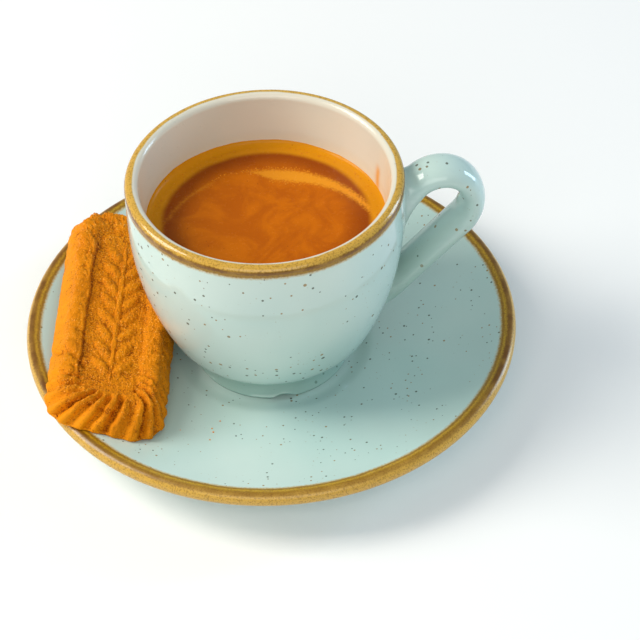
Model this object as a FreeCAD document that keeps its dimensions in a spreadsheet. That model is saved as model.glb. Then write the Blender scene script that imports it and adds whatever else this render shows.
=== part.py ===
"""Espresso shot: a stoneware cup of espresso on its saucer, with a caramel biscuit laid beside the cup.

Frame: millimetres, +Z up, origin on the table under the middle of the saucer. The cup's handle
points along +X. Every driving size is a cell of the sheet "Sizes", and each sub-part is bound to it.
"""
import FreeCAD, Part
import math
import os
import Sketcher

SIZES = {
    # saucer
    "saucer_radius": 59.0,
    "saucer_height": 14.6,
    "saucer_wall": 3.6,
    "rim_round": 1.8,
    "rim_slope": 18.0,
    "well_radius": 20.6,
    "well_floor": 4.8,
    "well_step": 1.0,
    "well_soft": 1.8,
    "flank_curve": 170.0,
    "saucer_foot": 31.5,
    "saucer_foot_width": 3.6,
    "saucer_foot_height": 3.0,
    "saucer_foot_lean": 0.6,
    "saucer_foot_edge": 0.6,
    # cup, its heights counted from its own foot
    "cup_radius": 32.1,
    "cup_height": 54.3,
    "cup_wall": 4.0,
    "lip_round": 1.6,
    "side_start": 43.8,
    "side_curve": 75.0,
    "side_turn": 24.5,
    "belly_curve": 12.0,
    "belly_turn": 50.0,
    "bowl_floor": 7.4,
    "foot_radius": 18.9,
    "foot_edge": 0.8,
    "foot_hollow": 6.0,
    "foot_inner": 15.0,
    "foot_recess": 2.0,
    "notch_height": 1.4,
    "notch_curve": 5.0,
    "notch_count": 3,
    # handle
    "handle_seat": 26.0,
    "handle_height": 34.1,
    "rise_angle": 53.3,
    "rise_length": 14.8,
    "crown_curve": 7.5,
    "crown_turn": 112.5,
    "bow_curve": 9.5,
    "bow_turn": 74.4,
    "leg_length": 24.0,
    "foot_bend": 8.0,
    "foot_bend_turn": 44.0,
    "root_length": 5.0,
    "handle_width": 10.3,
    "handle_thick": 6.1,
    "root_blend": 1.8,
    # espresso
    "espresso_level": 40.3,
    "meniscus": 0.5,
    "meniscus_width": 1.25,
    "meniscus_curve": 1.7,
    # biscuit, laid with its long left side up on the saucer's rim
    "biscuit_length": 74.0,
    "biscuit_width": 29.2,
    "biscuit_thick": 6.4,
    "biscuit_skew": 2.0,
    "biscuit_flare": 25.0,
    "biscuit_corner": 8.2,
    "biscuit_top_round": 2.4,
    "biscuit_base_round": 1.0,
    "field_length": 56.0,
    "field_width": 14.5,
    "field_corner": 3.0,
    "field_depth": 1.0,
    "field_taper": 30.0,
    "crimp_round": 1.3,
    "crimp_length": 9.0,
    "crimp_pitch": 4.0,
    "crimp_inset": 2.0,
    "crimp_back": 5.4,
    "crimp_lift_end": 0.2,
    "crimp_lift_side": 0.8,
    "crimp_lean_end": 14.0,
    "crimp_lean_side": 7.0,
    "kernel_pairs": 8,
    "kernel_pitch": 5.5,
    "kernel_across": 2.35,
    "kernel_length": 5.6,
    "kernel_width": 2.4,
    "kernel_height": 0.8,
    "kernel_lean": 35.0,
    "stem_length": 49.0,
    "stem_width": 1.44,
    "stem_height": 0.56,
    "biscuit_across": -36.7,
    "biscuit_along": 4.4,
    "biscuit_middle": 16.26,
    "biscuit_turn": -10.8,
    "biscuit_tilt": 11.54,
    "biscuit_dip": 0.63,
}

# How far a cut runs past the solid it opens, and how close counts as touching, in millimetres.
PAST = 1.0
NEAR = 0.02


class Size:
    """A number together with the sheet expression that gives it."""

    def __init__(self, value, text=None):
        self.value = float(value)
        self.text = text or repr(self.value)

    def join(self, other, sign, value):
        return Size(value, "(%s %s %s)" % (self.text, sign, as_size(other).text))

    def __add__(self, other):
        return self.join(other, "+", self.value + as_size(other).value)

    def __sub__(self, other):
        return self.join(other, "-", self.value - as_size(other).value)

    def __mul__(self, other):
        return self.join(other, "*", self.value * as_size(other).value)

    def __truediv__(self, other):
        return self.join(other, "/", self.value / as_size(other).value)

    def __neg__(self):
        return self * -1.0


def as_size(number):
    return number if isinstance(number, Size) else Size(number)


def cosine(angle):
    return Size(math.cos(math.radians(angle.value)), "cos(%s)" % angle.text)


def sine(angle):
    return Size(math.sin(math.radians(angle.value)), "sin(%s)" % angle.text)


def root(size):
    return Size(math.sqrt(size.value), "sqrt(%s)" % size.text)


def bind(sketch, constraint, size):
    """Adds a constraint to a sketch and ties it to the sheet."""
    index = sketch.addConstraint(constraint)
    sketch.setExpression("Constraints[%d]" % index, size.text)


class Cells:
    """The cells of the sheet, each read as a Size by its alias."""

    def __getattr__(self, alias):
        return Size(SIZES[alias], "Sizes." + alias)


def fill_sheet(document):
    sheet = document.addObject("Spreadsheet::Sheet", "Sizes")
    for row, (alias, number) in enumerate(SIZES.items(), start=1):
        sheet.set("A%d" % row, alias.replace("_", " "))
        sheet.set("B%d" % row, str(number))
        sheet.setAlias("B%d" % row, alias)
    document.recompute()


def polar(centre, radius, angle):
    """The point at an angle below the horizontal, seen from a centre in the plane of a section."""
    return centre[0] + cosine(angle) * radius, centre[1] - sine(angle) * radius


class Outline:
    """Draws joined lines and arcs in a sketch, each corner and radius bound to the sheet."""

    def __init__(self, sketch, start):
        self.sketch = sketch
        self.start = start
        self.here = start
        self.first = None
        self.last = None

    def place_end(self, index, end, corner):
        """Fixes one end of an edge at its corner; a corner on an axis is tied to that axis."""
        for name, size, axis in (("DistanceX", corner[0], -2), ("DistanceY", corner[1], -1)):
            if size.value == 0.0:
                self.sketch.addConstraint(Sketcher.Constraint("PointOnObject", index, end, axis))
            else:
                bind(self.sketch, Sketcher.Constraint(name, -1, 1, index, end, size.value), size)

    def join_edge(self, index, near_end, far_end, corner):
        if self.last is None:
            self.first = (index, near_end)
            self.place_end(index, near_end, self.start)
        else:
            self.sketch.addConstraint(Sketcher.Constraint("Coincident", *self.last, index, near_end))
        if corner is self.start:
            self.sketch.addConstraint(Sketcher.Constraint("Coincident", index, far_end, *self.first))
        else:
            self.place_end(index, far_end, corner)
        self.last = (index, far_end)
        self.here = corner

    def line(self, *corner):
        edge = Part.LineSegment(point(self.here), point(corner))
        self.join_edge(self.sketch.addGeometry(edge, False), 1, 2, corner)
        return self

    def close(self):
        edge = Part.LineSegment(point(self.here), point(self.start))
        self.join_edge(self.sketch.addGeometry(edge, False), 1, 2, self.start)

    def arc(self, corner, radius, clockwise=False):
        """An arc of less than half a turn from here to the corner."""
        start, end = point(self.here), point(corner)
        chord = end.sub(start)
        lift = math.sqrt(max(radius.value ** 2 - (chord.Length / 2.0) ** 2, 0.0))
        side = FreeCAD.Vector(chord.y, -chord.x, 0).normalize() * (lift if clockwise else -lift)
        centre = start + chord * 0.5 + side
        angles = [math.atan2(p.y - centre.y, p.x - centre.x) for p in (start, end)]
        if clockwise:
            angles.reverse()
        circle = Part.Circle(centre, FreeCAD.Vector(0, 0, 1), radius.value)
        index = self.sketch.addGeometry(Part.ArcOfCircle(circle, angles[0], angles[1]), False)
        near_end, far_end = (2, 1) if clockwise else (1, 2)
        self.join_edge(index, near_end, far_end, corner)
        bind(self.sketch, Sketcher.Constraint("Radius", index, radius.value), radius)
        return self


def point(corner):
    return FreeCAD.Vector(corner[0].value, corner[1].value, 0)


def new_body(document, label):
    body = document.addObject("PartDesign::Body", label)
    body.Label = label
    return body


def new_sketch(body, name, plane):
    """A sketch on one of the body's own origin planes."""
    sketch = body.newObject("Sketcher::SketchObject", name)
    support = [item for item in body.Origin.OriginFeatures if item.Role == plane][0]
    sketch.AttachmentSupport = [(support, "")]
    sketch.MapMode = "FlatFace"
    return sketch


def turn_about_axis(body, kind, name, sketch):
    """A full revolution or groove of a sketch about the upright axis."""
    feature = body.newObject(kind, name)
    feature.Profile = sketch
    feature.ReferenceAxis = (sketch, ["V_Axis"])
    feature.Angle = 360.0
    sketch.Visibility = False
    return feature


def saucer_section(sketch, cells):
    zero = Size(0.0)
    floor = cells.well_floor
    under = floor - cells.saucer_wall
    rim_centre = (cells.saucer_radius - cells.rim_round, cells.saucer_height - cells.rim_round)
    lean = (sine(cells.rim_slope) * cells.rim_round, cosine(cells.rim_slope) * cells.rim_round)
    rim_top = (rim_centre[0] - lean[0], rim_centre[1] + lean[1])
    rim_out = (rim_centre[0] + lean[1], rim_centre[1] + lean[0])
    rim_under = (rim_centre[0] + lean[0], rim_centre[1] - lean[1])
    step_top = (cells.well_radius + cells.well_soft, floor + cells.well_step)
    foot_inside = cells.saucer_foot - cells.saucer_foot_width
    ease = cells.saucer_foot_edge
    outline = Outline(sketch, (zero, under))
    outline.line(foot_inside - cells.saucer_foot_lean, under)
    outline.line(foot_inside, ease)
    outline.arc((foot_inside + ease, zero), ease)
    outline.line(cells.saucer_foot - ease, zero)
    outline.arc((cells.saucer_foot, ease), ease)
    outline.line(cells.saucer_foot, cells.saucer_foot_height)
    outline.arc(rim_under, cells.flank_curve)
    outline.arc(rim_out, cells.rim_round)
    outline.arc(rim_top, cells.rim_round)
    outline.arc(step_top, cells.flank_curve, clockwise=True)
    outline.line(cells.well_radius, floor)
    outline.line(zero, floor)
    outline.close()


def build_saucer(document, cells):
    body = new_body(document, "saucer")
    section = new_sketch(body, "SaucerSection", "XZ_Plane")
    saucer_section(section, cells)
    turn_about_axis(body, "PartDesign::Revolution", "SaucerTurned", section)
    return body


def side_points(cells, inset):
    """Where the cup's side, set in by inset, starts to curve and where it hands over to the belly."""
    centre = (cells.cup_radius - cells.side_curve, cells.side_start + cells.well_floor)
    radius = cells.side_curve - inset
    return (cells.cup_radius - inset, centre[1]), polar(centre, radius, cells.side_turn), radius


def bowl_wall(outline, cells):
    """Draws the hollow's wall from the start of its curve down to the middle of its floor."""
    start, end, radius = side_points(cells, cells.cup_wall)
    floor = cells.bowl_floor + cells.well_floor
    corner = (end[1] - floor) / (Size(1.0) - sine(cells.side_turn))
    outline.arc(end, radius, clockwise=True)
    outline.arc((end[0] - cosine(cells.side_turn) * corner, floor), corner, clockwise=True)
    outline.line(Size(0.0), floor)


def cup_section(sketch, cells):
    """The cup's outside as a full solid, from the middle of its base round to the middle of its top."""
    zero = Size(0.0)
    base = cells.well_floor
    top = base + cells.cup_height
    start, end, radius = side_points(cells, zero)
    belly_centre = (end[0] - cosine(cells.side_turn) * cells.belly_curve,
                    end[1] + sine(cells.side_turn) * cells.belly_curve)
    waist = polar(belly_centre, cells.belly_curve, cells.side_turn + cells.belly_turn)
    outline = Outline(sketch, (zero, base))
    outline.line(cells.foot_radius - cells.foot_edge, base)
    outline.arc((cells.foot_radius, base + cells.foot_edge), cells.foot_edge)
    outline.arc(waist, cells.foot_hollow, clockwise=True)
    outline.arc(end, cells.belly_curve)
    outline.arc(start, radius)
    outline.line(cells.cup_radius, top - cells.lip_round)
    outline.arc((cells.cup_radius - cells.lip_round, top), cells.lip_round)
    outline.line(zero, top)
    outline.close()


def hollow_section(sketch, cells):
    """What is taken out of the cup: the bowl up to the rounded lip, and above it to the axis."""
    zero = Size(0.0)
    top = cells.well_floor + cells.cup_height
    lip_inside = cells.cup_radius - cells.lip_round * 2.0
    start = side_points(cells, cells.cup_wall)[0]
    outline = Outline(sketch, (zero, top + PAST))
    outline.line(cells.cup_radius - cells.lip_round, top + PAST)
    outline.line(cells.cup_radius - cells.lip_round, top)
    outline.arc((lip_inside, top - cells.lip_round), cells.lip_round)
    outline.line(*start)
    bowl_wall(outline, cells)
    outline.close()


def foot_section(sketch, cells):
    """The shallow hollow under the cup, inside its foot ring."""
    zero = Size(0.0)
    base = cells.well_floor
    outline = Outline(sketch, (zero, base - PAST))
    outline.line(cells.foot_inner, base - PAST)
    outline.line(cells.foot_inner, base)
    outline.line(cells.foot_inner - cells.foot_recess, base + cells.foot_recess)
    outline.line(zero, base + cells.foot_recess)
    outline.close()


def handle_path(sketch, cells):
    """The handle's centre line: a straight rise, the crown, the outer bow and the straight leg."""
    heading = cells.rise_angle
    here = (cells.handle_seat, cells.handle_height + cells.well_floor)
    outline = Outline(sketch, here)
    stretches = [("line", cells.rise_length, None),
                 ("arc", cells.crown_curve, cells.crown_turn), ("arc", cells.bow_curve, cells.bow_turn),
                 ("line", cells.leg_length, None),
                 ("arc", cells.foot_bend, cells.foot_bend_turn), ("line", cells.root_length, None)]
    for kind, size, turn in stretches:
        if kind == "line":
            here = (here[0] + cosine(heading) * size, here[1] + sine(heading) * size)
            outline.line(*here)
        else:
            after = heading - turn
            here = (here[0] + (sine(after) - sine(heading)) * -size,
                    here[1] + (cosine(after) - cosine(heading)) * size)
            outline.arc(here, size, clockwise=True)
            heading = after


def handle_strap(sketch, cells):
    """The handle's cross-section: a flattened oval, its long axis across the handle."""
    half_thick, half_width = cells.handle_thick * 0.5, cells.handle_width * 0.5
    oval = Part.Ellipse(FreeCAD.Vector(0, half_width.value, 0), FreeCAD.Vector(half_thick.value, 0, 0),
                        FreeCAD.Vector(0, 0, 0))
    sketch.addGeometry(oval, False)
    sketch.exposeInternalGeometry(0)
    sketch.addConstraint(Sketcher.Constraint("Coincident", 0, 3, -1, 1))
    sketch.addConstraint(Sketcher.Constraint("Vertical", 1))
    bind(sketch, Sketcher.Constraint("Distance", 1, cells.handle_width.value), cells.handle_width)
    bind(sketch, Sketcher.Constraint("Distance", 2, cells.handle_thick.value), cells.handle_thick)


def add_handle(body, cells):
    path = new_sketch(body, "HandlePath", "XZ_Plane")
    handle_path(path, cells)
    strap = new_sketch(body, "HandleStrap", "XY_Plane")
    handle_strap(strap, cells)
    height = cells.handle_height + cells.well_floor
    lean = Size(90.0) - cells.rise_angle
    strap.AttachmentOffset = FreeCAD.Placement(
        FreeCAD.Vector(cells.handle_seat.value, 0, height.value),
        FreeCAD.Rotation(FreeCAD.Vector(0, 1, 0), lean.value))
    strap.setExpression("AttachmentOffset.Base.x", cells.handle_seat.text)
    strap.setExpression("AttachmentOffset.Base.z", height.text)
    strap.setExpression("AttachmentOffset.Rotation.Angle", lean.text)
    pipe = body.newObject("PartDesign::AdditivePipe", "Handle")
    pipe.Profile = strap
    pipe.Spine = (path, ["Edge%d" % (i + 1) for i in range(path.GeometryCount)])
    return pipe


def root_edges(shape, cells):
    """The seams where the handle runs into the cup's side, found by where they lie."""
    reach = cells.handle_width.value * 0.5 + NEAR
    names = []
    for number, edge in enumerate(shape.Edges, start=1):
        box = edge.BoundBox
        beside = max(abs(box.YMin), abs(box.YMax)) < reach and box.XMin > cells.foot_radius.value
        middle = edge.valueAt((edge.FirstParameter + edge.LastParameter) * 0.5)
        out = math.hypot(middle.x, middle.y)
        centre = (cells.cup_radius - cells.side_curve).value, (cells.side_start + cells.well_floor).value
        if middle.z > centre[1]:
            gap = out - cells.cup_radius.value
        else:
            gap = math.hypot(out - centre[0], middle.z - centre[1]) - cells.side_curve.value
        if beside and abs(gap) < NEAR:
            names.append("Edge%d" % number)
    return names


def cut_notches(body, cells):
    """Low arched drain notches through the foot ring, the first square to the handle."""
    sketch = new_sketch(body, "Notch", "XZ_Plane")
    height = cells.well_floor + cells.notch_height
    circle = Part.Circle(FreeCAD.Vector(0, height.value - cells.notch_curve.value, 0),
                         FreeCAD.Vector(0, 0, 1), cells.notch_curve.value)
    sketch.addGeometry(circle, False)
    sketch.addConstraint(Sketcher.Constraint("PointOnObject", 0, 3, -2))
    bind(sketch, Sketcher.Constraint("Radius", 0, cells.notch_curve.value), cells.notch_curve)
    middle = height - cells.notch_curve
    bind(sketch, Sketcher.Constraint("DistanceY", -1, 1, 0, 3, middle.value), middle)
    pocket = body.newObject("PartDesign::Pocket", "NotchCut")
    pocket.Profile = sketch
    pocket.Type = 0
    pocket.Reversed = True
    pocket.setExpression("Length", (cells.foot_radius + PAST).text)
    sketch.Visibility = False
    pattern = body.newObject("PartDesign::PolarPattern", "Notches")
    pattern.Originals = [pocket]
    pattern.Axis = (sketch, ["V_Axis"])
    pattern.Angle = 360.0
    pattern.setExpression("Occurrences", cells.notch_count.text)
    body.Tip = pattern


def build_cup(document, cells):
    body = new_body(document, "cup")
    section = new_sketch(body, "CupSection", "YZ_Plane")
    cup_section(section, cells)
    turn_about_axis(body, "PartDesign::Revolution", "CupTurned", section)
    pipe = add_handle(body, cells)
    document.recompute()
    blend = body.newObject("PartDesign::Fillet", "HandleRoots")
    blend.Base = (pipe, root_edges(pipe.Shape, cells))
    blend.setExpression("Radius", cells.root_blend.text)
    hollow = new_sketch(body, "BowlSection", "XZ_Plane")
    hollow_section(hollow, cells)
    turn_about_axis(body, "PartDesign::Groove", "BowlHollow", hollow)
    under = new_sketch(body, "FootSection", "XZ_Plane")
    foot_section(under, cells)
    turn_about_axis(body, "PartDesign::Groove", "FootHollow", under)
    cut_notches(body, cells)
    return body


def build_espresso(document, cells):
    """The drink fills the bowl to its level and climbs a little where it meets the wall."""
    body = new_body(document, "espresso")
    sketch = new_sketch(body, "DrinkSection", "XZ_Plane")
    level = cells.espresso_level + cells.well_floor
    centre = (cells.cup_radius - cells.side_curve, cells.side_start + cells.well_floor)
    radius = cells.side_curve - cells.cup_wall
    edge_height = level + cells.meniscus
    drop = centre[1] - edge_height
    edge_radius = centre[0] + root(radius * radius - drop * drop)
    outline = Outline(sketch, (Size(0.0), level))
    outline.line(edge_radius - cells.meniscus_width, level)
    outline.arc((edge_radius, edge_height), cells.meniscus_curve)
    bowl_wall(outline, cells)
    outline.close()
    turn_about_axis(body, "PartDesign::Revolution", "DrinkTurned", sketch)
    return body


def biscuit_plate(document, cells):
    """The baked slab: its sides flare towards the base, its top is sunk inside a raised border."""
    body = new_body(document, "BiscuitPlate")
    base = new_sketch(body, "PlateOutline", "XY_Plane")
    half_length, half_width = cells.biscuit_length * 0.5, cells.biscuit_width * 0.5
    skew = cells.biscuit_skew
    outline = Outline(base, (half_length, -half_width))
    outline.line(half_length, half_width)
    outline.line(skew - half_length, half_width)
    outline.line(-half_length - skew, -half_width)
    outline.close()
    pad = body.newObject("PartDesign::Pad", "Plate")
    pad.Profile = base
    pad.setExpression("Length", cells.biscuit_thick.text)
    pad.setExpression("TaperAngle", (-cells.biscuit_flare).text)
    document.recompute()
    rounded = pad
    thick = cells.biscuit_thick.value
    for name, size, wanted in (
            ("PlateCorners", cells.biscuit_corner, lambda box: box.ZLength > thick - NEAR),
            ("PlateTop", cells.biscuit_top_round, lambda box: box.ZMin > thick - NEAR),
            ("PlateBase", cells.biscuit_base_round, lambda box: box.ZMax < NEAR)):
        edges = ["Edge%d" % (i + 1) for i, edge in enumerate(rounded.Shape.Edges) if wanted(edge.BoundBox)]
        fillet = body.newObject("PartDesign::Fillet", name)
        fillet.Base = (rounded, edges)
        fillet.setExpression("Radius", size.text)
        document.recompute()
        rounded = fillet
    field = new_sketch(body, "Field", "XY_Plane")
    field.setExpression("AttachmentOffset.Base.z", cells.biscuit_thick.text)
    rounded_rectangle(field, cells.field_length * 0.5, cells.field_width * 0.5, cells.field_corner)
    pocket = body.newObject("PartDesign::Pocket", "FieldSunk")
    pocket.Profile = field
    pocket.setExpression("Length", cells.field_depth.text)
    pocket.setExpression("TaperAngle", (-cells.field_taper).text)
    return body


def rounded_rectangle(sketch, half_length, half_width, corner):
    outline = Outline(sketch, (half_length, corner - half_width))
    outline.line(half_length, half_width - corner)
    outline.arc((half_length - corner, half_width), corner)
    outline.line(corner - half_length, half_width)
    outline.arc((-half_length, half_width - corner), corner)
    outline.line(-half_length, corner - half_width)
    outline.arc((corner - half_length, -half_width), corner)
    outline.line(half_length - corner, -half_width)
    outline.arc(outline.start, corner)


def border_stations(cells):
    """Even steps round a rounded rectangle just inside the plate's edge: place and outward angle."""
    inset = cells.crimp_inset.value
    half_length = cells.biscuit_length.value * 0.5 - inset
    half_width = cells.biscuit_width.value * 0.5 - inset
    corner = cells.biscuit_corner.value - inset
    stretches = []
    for quarter in range(4):
        facing = 90.0 * quarter
        along, across = (half_width, half_length) if quarter % 2 == 0 else (half_length, half_width)
        stretches.append(("side", facing, 2.0 * (along - corner), along - corner, across))
        stretches.append(("corner", facing, math.pi / 2.0 * corner, along - corner, across))
    around = sum(stretch[2] for stretch in stretches)
    count = round(around / cells.crimp_pitch.value)
    stations = []
    for number in range(count):
        gone = around * number / count
        for kind, facing, length, straight, across in stretches:
            if gone < length:
                break
            gone -= length
        if kind == "side":
            place = FreeCAD.Vector(across, gone - straight, 0)
            angle = 0.0
        else:
            angle = math.degrees(gone / corner)
            place = FreeCAD.Vector(across - corner + corner * math.cos(math.radians(angle)),
                                   straight + corner * math.sin(math.radians(angle)), 0)
        turn = FreeCAD.Rotation(FreeCAD.Vector(0, 0, 1), facing)
        stations.append((turn.multVec(place), facing + angle))
    return stations


def crimp_cutters(document, cells):
    """Round-bottomed grooves across the border: deep over the two ends, faint along the sides."""
    cutters = []
    deep = (cells.crimp_lift_end.value, cells.crimp_lean_end.value)
    faint = (cells.crimp_lift_side.value, cells.crimp_lean_side.value)
    for number, (place, facing) in enumerate(border_stations(cells)):
        cutter = document.addObject("Part::Cylinder", "Crimp%02d" % number)
        cutter.setExpression("Radius", cells.crimp_round.text)
        cutter.setExpression("Height", cells.crimp_length.text)
        lift, lean = deep if abs(place.x) > cells.field_length.value * 0.5 else faint
        outward = FreeCAD.Rotation(FreeCAD.Vector(0, 0, 1), facing)
        lie = FreeCAD.Rotation(FreeCAD.Vector(0, 1, 0), 90.0 + lean)
        start = outward.multVec(FreeCAD.Vector(-cells.crimp_back.value, 0, 0))
        start.z = cells.biscuit_thick.value + lift
        cutter.Placement = FreeCAD.Placement(place + start, outward * lie)
        cutters.append(cutter)
    return cutters


def ear_relief(document, cells):
    """A plain ear of grain in low relief: a stem with a pair of leaning kernels at every step."""
    bed = cells.biscuit_thick - cells.field_depth
    pairs = int(cells.kernel_pairs.value)
    pieces = []
    for number in range(pairs * 2):
        pair, side = number // 2, 1 if number % 2 else -1
        kernel = document.addObject("Part::Ellipsoid", "Kernel%02d" % number)
        kernel.setExpression("Radius1", cells.kernel_height.text)
        kernel.setExpression("Radius2", (cells.kernel_length * 0.5).text)
        kernel.setExpression("Radius3", (cells.kernel_width * 0.5).text)
        along = (pair + 0.5 - pairs * 0.5) * cells.kernel_pitch.value
        across = side * cells.kernel_across.value
        kernel.Placement = FreeCAD.Placement(
            FreeCAD.Vector(along, across, bed.value),
            FreeCAD.Rotation(FreeCAD.Vector(0, 0, 1), side * cells.kernel_lean.value))
        pieces.append(kernel)
    stem = document.addObject("Part::Ellipsoid", "Stem")
    stem.setExpression("Radius1", cells.stem_height.text)
    stem.setExpression("Radius2", (cells.stem_length * 0.5).text)
    stem.setExpression("Radius3", (cells.stem_width * 0.5).text)
    stem.Placement = FreeCAD.Placement(FreeCAD.Vector(0, 0, bed.value), FreeCAD.Rotation())
    return pieces + [stem]


def build_biscuit(document, cells):
    plate = biscuit_plate(document, cells)
    crimps = document.addObject("Part::MultiFuse", "Crimps")
    crimps.Shapes = crimp_cutters(document, cells)
    crimped = document.addObject("Part::Cut", "CrimpedPlate")
    crimped.Base = plate
    crimped.Tool = crimps
    biscuit = document.addObject("Part::MultiFuse", "biscuit")
    biscuit.Label = "biscuit"
    biscuit.Shapes = [crimped] + ear_relief(document, cells)
    lie = FreeCAD.Rotation(90.0 + cells.biscuit_turn.value, cells.biscuit_dip.value, cells.biscuit_tilt.value)
    middle = FreeCAD.Vector(cells.biscuit_across.value, cells.biscuit_along.value, cells.biscuit_middle.value)
    sunk = lie.multVec(FreeCAD.Vector(0, 0, -cells.biscuit_thick.value * 0.5))
    biscuit.Placement = FreeCAD.Placement(middle + sunk, lie)
    return biscuit


def check_document(document):
    for item in document.Objects:
        bad = [state for state in item.State if state in ("Invalid", "Error")]
        if bad:
            raise RuntimeError("%s is %s" % (item.Label, bad))


def main():
    document = FreeCAD.newDocument("EspressoShot")
    fill_sheet(document)
    cells = Cells()
    nodes = [build(document, cells) for build in (build_saucer, build_cup, build_espresso, build_biscuit)]
    document.recompute()
    check_document(document)
    os.makedirs("parts", exist_ok=True)
    for node in nodes:
        shape = node.Shape
        if shape.isNull() or not shape.isValid() or len(shape.Solids) != 1:
            raise RuntimeError("%s is not one valid solid" % node.Label)
        shape.exportStep("parts/%s.step" % node.Label)
        print(node.Label, round(shape.Volume), "mm3", shape.BoundBox)


main()
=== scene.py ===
"""An espresso shot in a speckled, gold-rimmed cup and saucer, with a caramel biscuit beside the cup.

Laid out as an add-on and run as a script. Each operator makes one piece, or one group of like pieces,
in metres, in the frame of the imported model. The espresso, the cup, the saucer and the biscuit each
stand for the solid of the same name; bubbles, sugar grains and crumbs lie on them.
"""

import math

import bmesh
import bpy
import numpy as np
from bpy.props import FloatProperty, FloatVectorProperty, IntProperty, PointerProperty
from mathutils import Matrix, Vector, noise


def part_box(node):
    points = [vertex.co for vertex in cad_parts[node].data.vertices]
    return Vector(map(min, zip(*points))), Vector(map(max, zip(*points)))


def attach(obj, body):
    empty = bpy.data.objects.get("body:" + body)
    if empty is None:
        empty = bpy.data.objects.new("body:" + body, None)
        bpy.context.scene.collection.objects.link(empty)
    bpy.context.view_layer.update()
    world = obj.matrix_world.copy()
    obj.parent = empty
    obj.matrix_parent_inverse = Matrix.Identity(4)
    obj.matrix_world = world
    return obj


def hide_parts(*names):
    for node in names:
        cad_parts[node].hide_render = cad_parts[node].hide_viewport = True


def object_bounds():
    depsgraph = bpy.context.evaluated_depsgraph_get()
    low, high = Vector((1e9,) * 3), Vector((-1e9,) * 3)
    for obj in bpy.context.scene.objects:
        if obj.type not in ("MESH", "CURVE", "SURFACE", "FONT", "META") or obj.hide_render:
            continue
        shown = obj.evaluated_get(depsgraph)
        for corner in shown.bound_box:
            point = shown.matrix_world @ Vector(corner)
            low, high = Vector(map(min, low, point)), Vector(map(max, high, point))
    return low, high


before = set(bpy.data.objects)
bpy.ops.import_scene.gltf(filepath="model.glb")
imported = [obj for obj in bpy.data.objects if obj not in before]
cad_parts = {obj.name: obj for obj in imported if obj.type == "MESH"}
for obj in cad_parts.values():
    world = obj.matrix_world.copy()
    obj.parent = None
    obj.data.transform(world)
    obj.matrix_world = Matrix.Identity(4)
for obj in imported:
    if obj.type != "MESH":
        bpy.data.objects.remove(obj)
CAD_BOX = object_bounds()

bl_info = {
    "name": "Espresso Shot",
    "version": (1, 0, 0),
    "blender": (4, 5, 0),
    "location": "3D View > Sidebar > Espresso",
    "description": "Makes a speckled cup of espresso on its saucer, with a caramel biscuit beside the cup",
    "category": "Add Mesh",
}

MM = 0.001
WELD = 2e-6
SPINDLE = 10 * MM
GLAZE_RELIEF = 0.05 * MM
CREMA_RELIEF = 0.03 * MM
CRUST_RELIEF = 0.3 * MM
CHARRED = (0.012, 0.008, 0.004)
FLOOR_SHADES = ((0.9, 0.9, 0.89), (0.93, 0.93, 0.92))
LIGHTS = {  # place, width, depth, power and tint of each
    "Window": ((-0.72, 0.16, 0.66), 0.42, 0.6, 8.6, (1.0, 0.95, 0.87)),
    "Cool window": ((0.84, 0.2, 0.24), 0.2, 0.45, 3.4, (0.56, 0.78, 1.0)),
    "Front fill": ((-0.15, -0.9, 0.8), 1.1, 0.7, 5.2, (1.0, 0.98, 0.95)),
}
AWAY = 99.0  # further from the rim than any painted band reaches
SKY = (0.86, 0.95, 1.0, 1.0)
SKY_STRENGTH = 0.38
SAUCER_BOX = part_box("saucer")
CUP_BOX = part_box("cup")


# ---------------------------------------------------------------- settings

def length(name, description, millimetres):
    """A size in metres, given in millimetres."""
    return FloatProperty(name=name, description=description, default=millimetres * MM,
                         unit="LENGTH", precision=5)


def angle(name, description, degrees):
    return FloatProperty(name=name, description=description, default=math.radians(degrees),
                         unit="ROTATION")


def linear(channel):
    """A colour channel from 0 to 255 as a shader needs it."""
    share = channel / 255.0
    return share / 12.92 if share <= 0.04045 else ((share + 0.055) / 1.055) ** 2.4


def colour(name, description, red, green, blue):
    return FloatVectorProperty(name=name, description=description, subtype="COLOR", size=3,
                               min=0.0, max=1.0, default=[linear(c) for c in (red, green, blue)])


class SaucerSettings(bpy.types.PropertyGroup):
    radius: length("Radius", "From the middle to the outer edge", SAUCER_BOX[1].x / MM)
    height: length("Height", "From the table to the top of the rim", SAUCER_BOX[1].z / MM)
    wall: length("Wall", "Thickness of the well's floor", 3.6)
    rim_round: length("Rim round", "Radius of the rounded rim", 1.8)
    rim_slope: angle("Rim slope", "How steeply the flank meets the rim", 18)
    well_radius: length("Well radius", "Flat seat that the cup stands in", 20.6)
    well_step: length("Well step", "Height of the soft step round the seat", 1.0)
    well_soft: length("Well softness", "Width of the soft step", 1.8)
    flank_curve: length("Flank curve", "Radius of the flank's hollow", 170)
    foot_radius: length("Foot radius", "Outside of the foot ring", 31.5)
    foot_width: length("Foot width", "Width of the foot ring", 3.6)
    facets: IntProperty(name="Facets", description="Steps round the saucer", default=320, min=24)


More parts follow.
